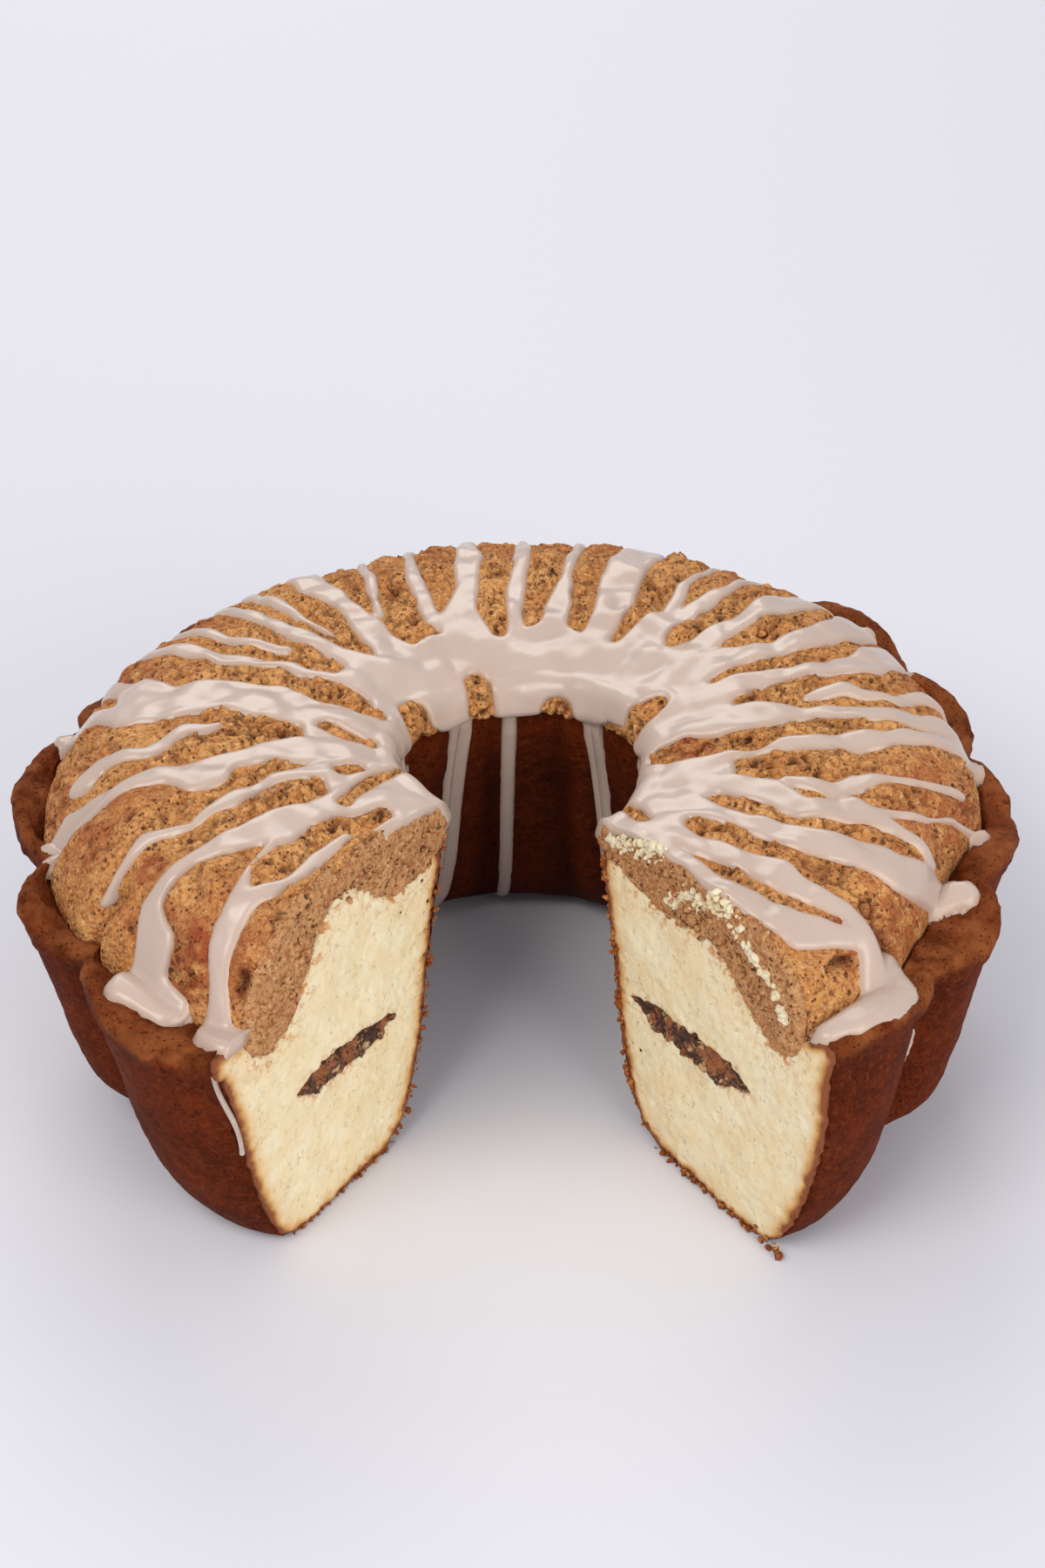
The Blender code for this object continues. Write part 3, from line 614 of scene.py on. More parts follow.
def even_angles(step, inset):
    """Angles from cut to cut, about a step apart and short of each cut by an inset."""
    count = round((CUT_LEFT - CUT_RIGHT) / step)
    return np.linspace(CUT_RIGHT + inset, CUT_LEFT - inset, count + 1)


# Materials

def node(tree, kind, inputs=None, **settings):
    """Shader node with its settings, its input values and its links."""
    made = tree.nodes.new("ShaderNode" + kind)
    for key, value in settings.items():
        setattr(made, key, value)
    for key, value in (inputs or {}).items():
        if isinstance(value, bpy.types.NodeSocket):
            tree.links.new(value, made.inputs[key])
        else:
            made.inputs[key].default_value = value
    return made


def spots(tree, scale, detail=2.0, roughness=0.5):
    """Noise over the object's own coordinates, from 0 to 1."""
    place_on = node(tree, "TexCoord").outputs["Object"]
    settings = {"Vector": place_on, "Scale": scale, "Detail": detail, "Roughness": roughness}
    return node(tree, "TexNoise", settings).outputs["Fac"]


def pores(tree, scale, size):
    """Small round pits: 1 inside them and 0 between them."""
    return between(tree, grains(tree, scale), size, size * 0.4)


def grains(tree, scale):
    """Distance from the middle of packed round grains."""
    place_on = node(tree, "TexCoord").outputs["Object"]
    return node(tree, "TexVoronoi", {"Vector": place_on, "Scale": scale}).outputs["Distance"]


def between(tree, value, low, high, bottom=0.0, top=1.0):
    """Value run smoothly from bottom at low to top at high."""
    settings = {"Value": value, "From Min": low, "From Max": high, "To Min": bottom, "To Max": top}
    return node(tree, "MapRange", settings, interpolation_type="SMOOTHSTEP").outputs["Result"]


def attribute(tree, name):
    """A value that was painted on the piece."""
    return node(tree, "Attribute", attribute_name=name).outputs["Fac"]


def mixed(tree, amount, first, second):
    """Second colour laid over the first by an amount."""
    made = node(tree, "Mix", data_type="RGBA")
    for index, value in ((0, amount), (6, first), (7, second)):
        if isinstance(value, bpy.types.NodeSocket):
            tree.links.new(value, made.inputs[index])
        elif index == 0:
            made.inputs[index].default_value = value
        else:
            made.inputs[index].default_value = (*value[:3], 1.0)
    return made.outputs[2]


def times(tree, a, b):
    return node(tree, "Math", {0: a, 1: b}, operation="MULTIPLY").outputs[0]


def plus(tree, a, b):
    return node(tree, "Math", {0: a, 1: b}, operation="ADD").outputs[0]


def pocks(tree, scale, where, low, high):
    """Small pits that come in patches, where a wider noise is past its high."""
    return times(tree, pores(tree, scale, 0.3), between(tree, spots(tree, where, 3.0, 0.6), low, high))


def new_finish(name):
    """Material with a plain surface shader, and its node tree."""
    material = bpy.data.materials.new(name)
    material.use_nodes = True
    return material, material.node_tree


def dressed(material, colour, levels, rough=None, depth=0.0):
    """Gives the material's shader its colour and levels, and a bump of a depth from its roughness."""
    tree = material.node_tree
    shader = tree.nodes["Principled BSDF"]
    tree.links.new(colour, shader.inputs["Base Color"])
    for name, level in levels.items():
        shader.inputs[name].default_value = level
    if rough is not None:
        bump = node(tree, "Bump", {"Height": rough, "Distance": depth, "Strength": 1.0})
        tree.links.new(bump.outputs["Normal"], shader.inputs["Normal"])
    return material


def crust_finish():
    """Browned crust: mottled, with fine pores, a darker red brown deeper in the hole as painted shade that
    leaves the flute ridges lighter as painted highlights, and lighter along the rim.
    """
    material, tree = new_finish("browned_crust")
    tone = colours()
    mottle = between(tree, spots(tree, 45.0, 3.0, 0.55), 0.35, 0.65, 0.2, 0.6)
    fine_mottle = between(tree, spots(tree, 260.0, 5.0, 0.7), 0.38, 0.62, 0.0, 0.4)
    colour = mixed(tree, plus(tree, mottle, fine_mottle), tone.crust_dark, tone.crust)
    fine = between(tree, spots(tree, 620.0, 3.0, 0.7), 0.5, 0.7)
    colour = mixed(tree, times(tree, fine, 0.25), colour, tone.crust_light)
    edge = times(tree, attribute(tree, "rim"), between(tree, spots(tree, 120.0, 5.0, 0.7), 0.3, 0.62))
    colour = mixed(tree, edge, colour, tone.crust_light)
    # Painted shade down the hole, lighter on the flute ridges as painted highlights
    colour = mixed(tree, times(tree, attribute(tree, "hole"), 0.75), colour, tone.crust_hole_shade)
    pits = pores(tree, 620.0, 0.22)
    wide_pits = times(tree, pores(tree, 210.0, 0.2), between(tree, spots(tree, 90.0), 0.5, 0.6))
    holes = plus(tree, pits, wide_pits)
    colour = mixed(tree, times(tree, holes, 0.45), colour, tone.crust_dark)
    rough = plus(tree, spots(tree, 700.0, 4.0, 0.6), times(tree, holes, -0.9))
    return dressed(material, colour, {"Roughness": 0.62, "Specular IOR Level": 0.04}, rough, 0.001)


def crumb_finish():
    """Pale fine crumb: browned towards its crust, and stained where it meets the streusel and the ribbon."""
    material, tree = new_finish("fine_crumb")
    tone = colours()
    shade = between(tree, spots(tree, 120.0, 4.0, 0.6), 0.3, 0.7)
    colour = mixed(tree, shade, tone.crumb_shade, tone.crumb)
    pits = times(tree, pores(tree, 520.0, 0.3), between(tree, spots(tree, 260.0), 0.48, 0.62))
    colour = mixed(tree, times(tree, pits, 0.5), colour, tone.crumb_shade)
    speck = between(tree, spots(tree, 420.0, 3.0, 0.7), 0.5, 0.62)
    stain = times(tree, attribute(tree, "stain"), speck)
    colour = mixed(tree, stain, colour, tone.streusel)
    colour = mixed(tree, attribute(tree, "golden"), colour, tone.crumb_edge)
    colour = mixed(tree, attribute(tree, "brown"), colour, tone.crust_cut)
    rough = plus(tree, spots(tree, 900.0, 5.0, 0.7), times(tree, pits, -0.8))
    levels = {"Roughness": 0.85, "Subsurface Weight": 0.25, "Subsurface Radius": (1.0, 0.8, 0.5),
              "Subsurface Scale": 0.002}
    return dressed(material, colour, levels, rough, 0.0005)


def streusel_finish(name="baked_streusel", inner=False):
    """Sandy baked crumbs: golden, with darker grains, painted shade in their cracks and pits, and redder
    baked patches.
    """
    material, tree = new_finish(name)
    tone = colours()
    broad = between(tree, spots(tree, 60.0, 4.0, 0.65), 0.35, 0.65)
    colour = mixed(tree, broad, tone.streusel, tone.streusel_light)
    if inner:
        colour = mixed(tree, 0.6, colour, tone.streusel_inside)
    grain = between(tree, spots(tree, 700.0, 5.0, 0.75), 0.44, 0.62)
    colour = mixed(tree, times(tree, grain, 0.85), colour, tone.streusel_grain)
    pale = between(tree, spots(tree, 900.0, 3.0, 0.7), 0.54, 0.7)
    colour = mixed(tree, times(tree, pale, 0.6), colour, tone.streusel_pale)
    wide = times(tree, pocks(tree, 330.0, 140.0, 0.47, 0.58), 0.8)
    small = times(tree, pocks(tree, 620.0, 200.0, 0.42, 0.56), 0.75)
    holes = plus(tree, wide, small)
    # Painted shade in the pits
    colour = mixed(tree, holes, colour, tone.streusel_pit)
    if not inner:
        colour = mixed(tree, attribute(tree, "toast"), colour, tone.streusel_toast)
        # Painted shade in the cracks between crumbs and in the hollows by the rim
        colour = mixed(tree, times(tree, attribute(tree, "pit"), 0.9), colour, tone.streusel_pit)
    sand = plus(tree, times(tree, grains(tree, 900.0), -0.45), spots(tree, 500.0, 4.0, 0.7))
    rough = plus(tree, sand, times(tree, holes, -0.8))
    return dressed(material, colour, {"Roughness": 0.85, "Specular IOR Level": 0.25}, rough, 0.0014)


def cut_streusel_finish():
    """Streusel where the knife went through it: duller, with no baked patches."""
    return streusel_finish("cut_streusel", inner=True)


def icing_finish():
    """Poured sugar icing: glossy and faintly see-through, tinted where it is thin."""
    material, tree = new_finish("sugar_icing")
    tone = colours()
    cloud = between(tree, spots(tree, 40.0, 2.0, 0.5), 0.3, 0.7)
    colour = mixed(tree, times(tree, cloud, 0.5), tone.icing, tone.icing_shade)
    colour = mixed(tree, attribute(tree, "thin"), colour, tone.icing_thin)
    levels = {"Roughness": 0.3, "Subsurface Weight": 0.2, "Subsurface Radius": (1.0, 0.85, 0.8),
              "Subsurface Scale": 0.0015, "Coat Weight": 0.2, "Coat Roughness": 0.12}
    return dressed(material, colour, levels, spots(tree, 90.0, 2.0, 0.5), 0.0008)


def cut_crust_finish():
    """Broken crust: brown with golden grains."""
    material, tree = new_finish("cut_crust")
    tone = colours()
    light = between(tree, spots(tree, 500.0, 3.0, 0.7), 0.5, 0.68)
    colour = mixed(tree, times(tree, light, 0.6), tone.crust_cut, tone.crumb_edge)
    return dressed(material, colour, {"Roughness": 0.8, "Specular IOR Level": 0.15})


def cinnamon_finish():
    """Moist cinnamon sugar: dark, with amber lumps and a few pale sugar grains."""
    material, tree = new_finish("moist_cinnamon")
    tone = colours()
    lumps = between(tree, spots(tree, 190.0, 5.0, 0.8), 0.47, 0.56)
    colour = mixed(tree, lumps, tone.cinnamon_dark, tone.cinnamon)
    sugar = between(tree, spots(tree, 260.0, 4.0, 0.7), 0.55, 0.62)
    colour = mixed(tree, times(tree, sugar, 0.8), colour, tone.cinnamon_pale)
    return dressed(material, colour, {"Roughness": 0.42}, spots(tree, 600.0, 4.0, 0.7), 0.0012)


def finish_of(name):
    """One of the cake's finishes, made the first time that a piece needs it."""
    makers = {"browned_crust": crust_finish, "fine_crumb": crumb_finish, "baked_streusel": streusel_finish,
              "cut_streusel": cut_streusel_finish, "sugar_icing": icing_finish,
              "moist_cinnamon": cinnamon_finish, "cut_crust": cut_crust_finish}
    return bpy.data.materials.get(name) or makers[name]()


# Outlines of the pieces

def body_rings(angles):
    """Radius and height of the crumb body's outline at each angle, and its named stretches."""
    a = np.asarray(angles, float)[:, None]
    rim = rim_height(a)
    lip = outer_radius(a, RIM_HEIGHT)
    foot = outer_radius(a, 0.0)
    stretches = []

    def add(name, radius, height):
        radius, height = np.broadcast_arrays(radius, height)
        stretches.append((name, radius, height))

    add("base", BASE_INNER_RADIUS + (foot - 2.6 - BASE_INNER_RADIUS) * np.linspace(0.0, 1.0, 8), 0.0 * a)
    add("base", foot - 0.7, 0.0 * a + 0.4)
    heights = np.linspace(1.3, RIM_HEIGHT - 8.5, 58)[None, :]
    add("wall", outer_radius(a, heights), heights + 0.0 * a)
    for out, down in LIP_SECTION:
        add("lip", lip + out, rim - down)
    brow = lip - 3.0
    crevice = spread(CREVICE[0], a)
    fall = np.linspace(0.0, 1.0, 9)[None, :-1]
    low = crevice_height(angles)[:, None]
    add("rim", brow + (crevice - brow) * fall, rim + 0.1 + (low - rim) * smooth_step(fall))
    add("floor", crevice, low)
    radius = spread(np.linspace(109.0, 36.0, 14)[None, :], a)
    add("floor", radius, floor_height(radius, a))
    heights = np.linspace(82.0, 0.8, 72)[None, :]
    add("hole", hole_radius(a, heights), heights + 0.0 * a)
    names = np.concatenate([[name] * radius.shape[1] for name, radius, height in stretches])
    radii = np.concatenate([radius for name, radius, height in stretches], 1)
    heights = np.concatenate([height for name, radius, height in stretches], 1)
    return radii, heights, names


def crevice_height(angles):
    """Bottom of the groove between streusel and rim, filled up where icing runs over it."""
    angle = np.asarray(angles, float)
    length = path_length(np.full(angle.shape, CREVICE[0]))
    over = smooth_step(1.0 - icing_gap(length, angle) / 2.5)
    bottom = CREVICE[1] + 4.0 + 1.2 * ripple(angle, 14.0, 0.7)
    return bottom + (rim_height(angle) - 1.6 - bottom) * over


def ribbon_outline(angle, points=44):
    """Cinnamon ribbon outline as a ragged loop of radii and heights."""
    corners = np.array(RIBBON)
    far = np.cumsum(np.concatenate(((0.0,), np.hypot(*np.diff(np.vstack((corners, corners[:1])), axis=0).T))))
    spot = np.linspace(0.0, far[-1], points, endpoint=False)
    radius = np.interp(spot, far, np.append(corners[:, 0], corners[0, 0]))
    height = np.interp(spot, far, np.append(corners[:, 1], corners[0, 1]))
    short = RIBBON_SHORT * np.exp(-((angle - CUT_LEFT) / 40.0) ** 2)
    radius = radius + short * (93.0 - radius) / 47.0
    height = height + RIBBON_WANDER * ripple(np.array([angle]), 3.0, 5.1)[0]
    place_of = place(radius, angle, height)
    return radius + 0.9 * noise_at(place_of, 7.0, 3.0), height + 0.8 * noise_at(place_of, 5.0, 9.0)


def streusel_relief(points, radius):
    """Rise of the streusel's crumbs and the painted shade of its cracks and sunken holes, from nuggets near
    the hole to sandy lumps.
    """
    inner = 1.0 - smooth_step((radius - 76.0) / 28.0)
    inner = np.maximum(inner, 0.8 * smooth_step(noise_at(points, 19.0, 4.0) * 1.6 - 0.1))
    warped = points + warp(points, 5.0) * 1.5 * MM + warp(points, 2.2) * 0.7 * MM
    near, gap, draw = cells_at(warped, size_of("nugget"), 2.0)
    nugget = np.sqrt(np.clip(1.0 - (near / 0.85) ** 2, 0.0, 1.0)) * (0.4 + 0.75 * draw)
    nugget_crack = (1.0 - smooth_step(gap / 0.16)) * smooth_step(draw * 2.5)
    near, gap, draw = cells_at(warped, 0.42 * size_of("nugget"), 5.0)
    crumb = np.sqrt(np.clip(1.0 - near ** 2, 0.0, 1.0)) * (0.3 + draw)
    hole = (draw < 0.16) * smooth_step((0.62 - near) / 0.3)
    near, gap, draw = cells_at(points + warp(points, 9.0) * 3.0 * MM, size_of("lump"), 7.0)
    lump = np.sqrt(np.clip(1.0 - (near / 0.9) ** 2, 0.0, 1.0)) * (0.7 + 0.4 * draw)
    lump_crack = (1.0 - smooth_step(gap / 0.07)) * smooth_step(noise_at(points, 25.0, 4.0) * 1.5 + 0.4)
    sand = 0.3 * noise_at(points, 1.7, 1.0) + 0.35 * noise_at(points, 4.0, 5.0)
    rise = inner * (2.8 * nugget + 0.9 * crumb - 1.4 - 0.9 * nugget_crack - 1.3 * hole)
    rise = rise + (1.0 - 0.7 * inner) * (2.4 * lump + 0.5 * crumb - 1.4 - 1.6 * lump_crack) + sand
    # Painted shade: darkest in the cracks and sunken holes
    pit = np.maximum(inner * np.maximum(0.65 * nugget_crack, hole), (1.0 - inner) * lump_crack)
    return rise, np.clip(pit, 0.0, 1.0)


def streusel_bed(points):
    """Slow unevenness of the dome, which the crumbs and the icing lie on."""
    return 0.6 * noise_at(points, 16.0, 3.0) + 0.25 * noise_at(points, 8.0, 6.0) - 0.3


def warp(points, size):
    """Smooth sideways pushes from about -1 to 1, which make round cells uneven."""
    return np.stack([noise_at(points, size, seed) for seed in (11.0, 17.0, 23.0)], -1)


def facing(points):
    """Unit normals of a sheet of points, upwards where its columns run outwards over the top."""
    normal = np.cross(np.gradient(points, axis=1), np.gradient(points, axis=0))
    return normal / np.maximum(np.linalg.norm(normal, axis=-1, keepdims=True), 1e-12)


def streusel_surface(length, angle):
    """The streusel's outer face with its crumbs, the painted shade of its cracks, and its smooth radius."""
    radius, height = dome_skin(length, angle)
    points = place(radius, angle, height)
    rise, pit = crumb_rise(points, radius, length, angle)
    return points + facing(points) * rise[..., None] * MM, pit, radius


def crumb_rise(points, radius, length, angle):
    """Rise of the crumbs above the smooth dome, which fades by the icing, and the painted shade of their
    cracks and hollows.
    """
    rise, pit = streusel_relief(points, radius)
    edge = smooth_step((length + 3.0) / 6.0) * smooth_step((PATH_SHOULDER - length) / 4.0)
    free = smooth_step((icing_gap(length, angle) - 0.1) / 1.6)
    rise = (streusel_bed(points) + rise * free) * (0.4 + 0.6 * edge)
    pit = pit * free
    for out, turn, reach, deep in DENTS:
        away = np.hypot(radius - out, np.radians(angle - turn) * radius) / reach
        hollow = 1.0 - smooth_step(away * 1.2 - 0.2 + 0.25 * noise_at(points, 3.0, 2.0))
        rise = rise - deep * hollow
        # The hollows get painted shade too
        pit = np.maximum(pit, hollow)
    return rise, pit


def dome_skin(length, angle):
    """Radius and height of the smooth dome, and of the hole wall's top where the length is below 0."""
    drop = np.clip(-length, 0.0, None)
    height = np.interp(length, PATH_LENGTH, PATH_HEIGHT)
    mean = np.interp(length, PATH_LENGTH, PATH_RADIUS)
    radius = spread(mean, angle)
    height = np.where(length < 0.0, DOME[0, 1] - drop, height)
    height = height + swell(mean, angle) * (1.0 - smooth_step(drop / 6.0))
    wall = hole_radius(angle, height)
    inner = DOME[0, 0] + (wall - DOME[0, 0]) * smooth_step(drop / 5.5)
    return np.where(length < 0.0, inner, radius), height


def make_body():
    """Fluted crumb body with its crust, hollow where the ribbon runs; its ends lie just inside the cuts."""
    angles = even_angles(BODY_TURN, END_INSET)
    radius, height, names = body_rings(angles)
    points = place(radius, angles[:, None], height)
    normal = -facing(points)
    coarse = noise_at(points, 9.0, 1.0)
    fine = noise_at(points, 2.6, 2.0)
    wave, grit = np.array([BODY_ROUGHNESS[name] for name in names]).T
    rise = coarse * wave + fine * grit + size_of("lip") * ragged_lip(points, names)
    points = points + normal * rise[..., None] * MM
    bm = bmesh.new()
    sheet(bm, rolled(points))
    tunnel_angles = even_angles(TUNNEL_TURN, END_INSET)
    tunnel = np.array([np.stack(tunnel_outline(angle), -1) for angle in tunnel_angles])
    sheet(bm, rolled(place(tunnel[..., 0], tunnel_angles[:, None], tunnel[..., 1])))
    close_tube(bm)
    piece = finished("baked_body", bm, "browned_crust", ["cake_body"])
    turn, out, up = polar(coordinates(piece.data))
    rim = np.exp(-((rim_height(turn) - 0.6 - up) / 2.6).clip(-0.4, 9.0) ** 2) * (out > 108.0)
    patches = smooth_step(0.6 + 0.9 * noise_at(coordinates(piece.data), 9.0, 12.0))
    paint(piece, "rim", rim * (0.35 + 0.65 * patches))
    # Painted shade down the hole wall from its top, weaker on the flute ridges as painted highlights
    ridge_highlights = 1.0 - 0.6 * flute(turn)[0] ** 3
    paint(piece, "hole", (out < 62.0) * smooth_step((84.0 - up) / 30.0) * ridge_highlights)
    return piece


def ragged_lip(points, names):
    """Overhang of the crust's edge: it puffs out here and there above a shallow crack."""
    puff = smooth_step(noise_at(points, 14.0, 6.0) * 0.9 + 0.5)
    return puff * (names == "lip")


def polar(points):
    """Angles, radii and heights in degrees and millimetres of points in metres."""
    x = points[..., 0] / MM - AXIS_X
    y = points[..., 1] / MM - AXIS_Y
    return np.degrees(np.arctan2(x, -y)) % 360.0, np.hypot(x, y), points[..., 2] / MM


def tunnel_outline(angle):
    """Smooth hollow for the ribbon, a little wider than the ribbon is."""
    radius, height = ribbon_outline(angle, 14)
    middle_radius = radius.mean()
    middle_height = height.mean()
    return middle_radius + (radius - middle_radius) * 1.05, middle_height + (height - middle_height) * 1.25


def make_streusel():
    """Streusel ring under the icing: a crumbly dome on a plain underside, ending just inside the cuts."""
    angles = even_angles(STREUSEL_TURN, END_INSET)
    lengths = np.concatenate((np.arange(-3.6, PATH_SHOULDER - 0.3, STREUSEL_STEP), (PATH_SHOULDER,)))
    length, angle = np.meshgrid(lengths, angles)
    top, pit, radius = streusel_surface(length, angle)
    under_radius = np.concatenate(((111.2, 111.3), np.linspace(108.0, 36.0, 10), (33.9,)))
    radius, angle = np.meshgrid(under_radius, angles)
    radius = spread(radius, angle)
    floor = floor_height(radius, angle) + 0.4
    floor[:, 0] += 3.0
    under = place(radius, angle, floor)
    shade = np.concatenate((pit, np.zeros(under.shape[:2])), 1)
    bm = bmesh.new()
    # The top carries the painted shade of its cracks; the underside gets none
    sheet(bm, rolled(np.concatenate((top, under), 1)), pit=rolled(shade))
    close_tube(bm)
    piece = finished("streusel_crumbs", bm, "baked_streusel", ["streusel_topping"])
    paint(piece, "toast", toasted(coordinates(piece.data)))
    return piece


def toasted(points):
    """Redder patches where the oven browned the streusel, most of them near the rim."""
    turn, out = polar(points)[:2]
    patch = 0.65 * smooth_step((out - 80.0) / 26.0) * smooth_step(0.55 + 0.8 * noise_at(points, 18.0, 8.0))
    for radius, angle, reach in TOASTED_SPOTS:
        away = np.hypot(out - radius, np.radians(turn - angle) * radius) / reach
        patch = np.maximum(patch, 0.9 * (1.0 - smooth_step(away - 0.4)))
    return patch * smooth_step(0.65 + 0.7 * noise_at(points, 3.5, 2.0))


def make_cut_faces():
    """Torn crumb, streusel and ribbon at both cuts, each a thin slab flush with its cut."""
    for side, angle, inward in (("right", CUT_RIGHT, 1.0), ("left", CUT_LEFT, -1.0)):
        crumb_slab(side, angle, inward)
        streusel_slab(side, angle, inward)
        ribbon_slab(side, angle, inward)


def polygon_depth(radius, height, outline):
    """Distance inside a closed outline, less than 0 outside it."""
    depth = np.full(radius.shape, 1e9)
    inside = np.zeros(radius.shape, bool)
    for (r0, z0), (r1, z1) in zip(outline, np.roll(outline, -1, axis=0)):
        dr, dz = r1 - r0, z1 - z0
        t = np.clip(((radius - r0) * dr + (height - z0) * dz) / (dr * dr + dz * dz + 1e-9), 0.0, 1.0)
        depth = np.minimum(depth, np.hypot(radius - r0 - t * dr, height - z0 - t * dz))
        crosses = (z0 > height) != (z1 > height)
        inside ^= crosses & (radius < r0 + (height - z0) * dr / (dz if dz else 1.0))
    return np.where(inside, depth, -depth)


def slab(angle, inward, step, depth_of, relief_of, thickness=SLAB_THICKNESS):
    """Thin closed slab at a cut: a grid kept where depth_of is above 0, its edge moved onto the outline."""
    radius, height = np.meshgrid(np.arange(27.0, 131.0, step), np.arange(-1.0, 109.0, step))
    depth = depth_of(radius, height)
    climb_z, climb_r = np.gradient(depth, step)
    steep = np.maximum(np.hypot(climb_r, climb_z), 0.3)
    short = np.clip(-depth, 0.0, 1.5 * step) / steep ** 2
    radius = radius + climb_r * short
    height = height + climb_z * short
    points = place(radius, angle, height)
    away = np.array((math.cos(math.radians(angle)), math.sin(math.radians(angle)), 0.0)) * -inward
    relief = np.maximum(relief_of(points, radius, height, depth), 0.5 - thickness)
    front = points + away * relief[..., None] * MM
    back = points - away * thickness * MM
    bm = bmesh.new()
    panel(bm, front, back, depth > 0.0)
    return bm


def body_outline_at(angle):
    """Crumb body's outline at a cut, and the names of its stretches."""
    radius, height, names = body_rings([angle])
    return np.stack((radius[0], height[0]), -1), names


def crumb_slab(side, angle, inward):
    """Torn crumb at a cut, open where the ribbon runs."""
    outline, names = body_outline_at(angle)
    ribbon = np.stack(ribbon_outline(angle), -1)

    def depth_of(radius, height):
        depth = polygon_depth(radius, height, outline)
        torn = 0.35 * noise_at(place(radius, angle, height), 2.2, 3.0)
        return np.minimum(depth + torn - 0.1, -polygon_depth(radius, height, ribbon) + 2.0 * torn - 0.1)

    def relief_of(points, radius, height, depth):
        pits = 1.0 - smooth_step((cells_at(points, 3.4, 1.0)[0] - 0.16) / 0.12)
        rough = 0.45 * noise_at(points, 13.0) + 0.2 * noise_at(points, 3.2) + 0.15 * noise_at(points, 1.5)
        return rough - 0.7 * pits - 0.6 * (1.0 - smooth_step(depth / 1.2))

    bm = slab(angle, inward, size_of("grain"), depth_of, relief_of)
    piece = finished("crumb_cut_" + side, bm, "fine_crumb", ["cake_body"])
    out, up = polar(coordinates(piece.data))[1:]
    crust = -open_distance(out, up, outline[names != "floor"])
    crust = crust + 1.3 * smooth_step((80.0 - out) / 15.0) + 0.7 * smooth_step((5.0 - up) / 4.0)
    top = -open_distance(out, up, outline[names == "floor"])
    wobble = 0.8 * noise_at(coordinates(piece.data), 3.4, 5.0)
    paint(piece, "golden", np.clip(np.exp((crust + 1.6 + wobble) / 1.5), 0.0, 1.0))
    paint(piece, "brown", np.clip(np.exp((crust + 0.8 + 0.7 * wobble) / 0.5), 0.0, 1.0))
    around = -np.abs(polygon_depth(out, up, ribbon))
    stain = np.maximum(np.exp((top + 1.0) / 3.5), 0.9 * np.exp((around + 0.5) / 1.6))
    paint(piece, "stain", np.clip(stain, 0.0, 1.0))
    return piece


def open_distance(radius, height, outline):
    """Distance to an open line of points, skipping its longer gaps."""
    far = np.full(radius.shape, 1e9)
    for (r0, z0), (r1, z1) in zip(outline[:-1], outline[1:]):
        dr, dz = r1 - r0, z1 - z0
        if math.hypot(dr, dz) > 12.0:
            continue
        t = np.clip(((radius - r0) * dr + (height - z0) * dz) / (dr * dr + dz * dz + 1e-9), 0.0, 1.0)
        far = np.minimum(far, np.hypot(radius - r0 - t * dr, height - z0 - t * dz))
    return far


def streusel_outline_at(angle):
    """Streusel section at a cut, with the crumbs of its top."""
    length = np.arange(-3.4, PATH_SHOULDER, 0.8)
    angles = angle + np.array((-0.2, 0.0, 0.2))
    length, turn = np.meshgrid(length, angles)
    out, up = polar(streusel_surface(length, turn)[0])[1:]
    under = spread(np.linspace(111.3, 34.2, 60), angle)
    floor = floor_height(under, angle) + 0.5 * ripple(under * 9.0, 4.0, 1.0)
    return np.concatenate((np.stack((out[1], up[1]), -1), np.stack((under, floor - 0.4), -1)))


def streusel_slab(side, angle, inward):
    """Torn streusel at a cut."""
    outline = streusel_outline_at(angle)

    def depth_of(radius, height):
        return polygon_depth(radius, height, outline) + 0.5 * noise_at(place(radius, angle, height), 2.4, 3.0)

    def relief_of(points, radius, height, depth):
        crumbs = 1.0 - cells_at(points, 4.2, 3.0)[0] * 1.5
        rough = 0.5 * noise_at(points, 6.0, 2.0) + 0.3 * noise_at(points, 1.8, 4.0)
        return 0.25 + 0.42 * crumbs + rough - 1.2 * (1.0 - smooth_step(depth / 1.6))

    bm = slab(angle, inward, size_of("grain"), depth_of, relief_of)
    return finished("streusel_cut_" + side, bm, "cut_streusel", ["streusel_topping"])


def ribbon_slab(side, angle, inward):
    """End of the cinnamon ribbon at a cut."""
    ribbon = np.stack(ribbon_outline(angle), -1)

    def depth_of(radius, height):
        torn = 0.7 * noise_at(place(radius, angle, height), 2.0, 3.0)
        return polygon_depth(radius, height, ribbon) + 0.35 + torn

    def relief_of(points, radius, height, depth):
        pits = 1.0 - smooth_step((cells_at(points, 4.0, 6.0)[0] - 0.2) / 0.2)
        rough = 0.9 * noise_at(points, 3.5, 2.0) + 0.5 * noise_at(points, 1.4, 4.0)
        return rough - 1.3 * pits - 0.2

    bm = slab(angle, inward, RIBBON_SLAB_STEP, depth_of, relief_of, RIBBON_SLAB_THICKNESS)
    return finished("ribbon_cut_" + side, bm, "moist_cinnamon", ["cinnamon_filling"])


def make_ribbon():
    """Cinnamon ribbon through the whole cake."""
    angles = even_angles(RIBBON_TURN, END_INSET * 0.5)
    rings = np.array([np.stack(ribbon_outline(angle, 32), -1) for angle in angles])
    points = place(rings[..., 0], angles[:, None], rings[..., 1])
    bm = bmesh.new()
    sheet(bm, rolled(points))
    close_tube(bm)
    return finished("cinnamon_ribbon", bm, "moist_cinnamon", ["cinnamon_filling"])


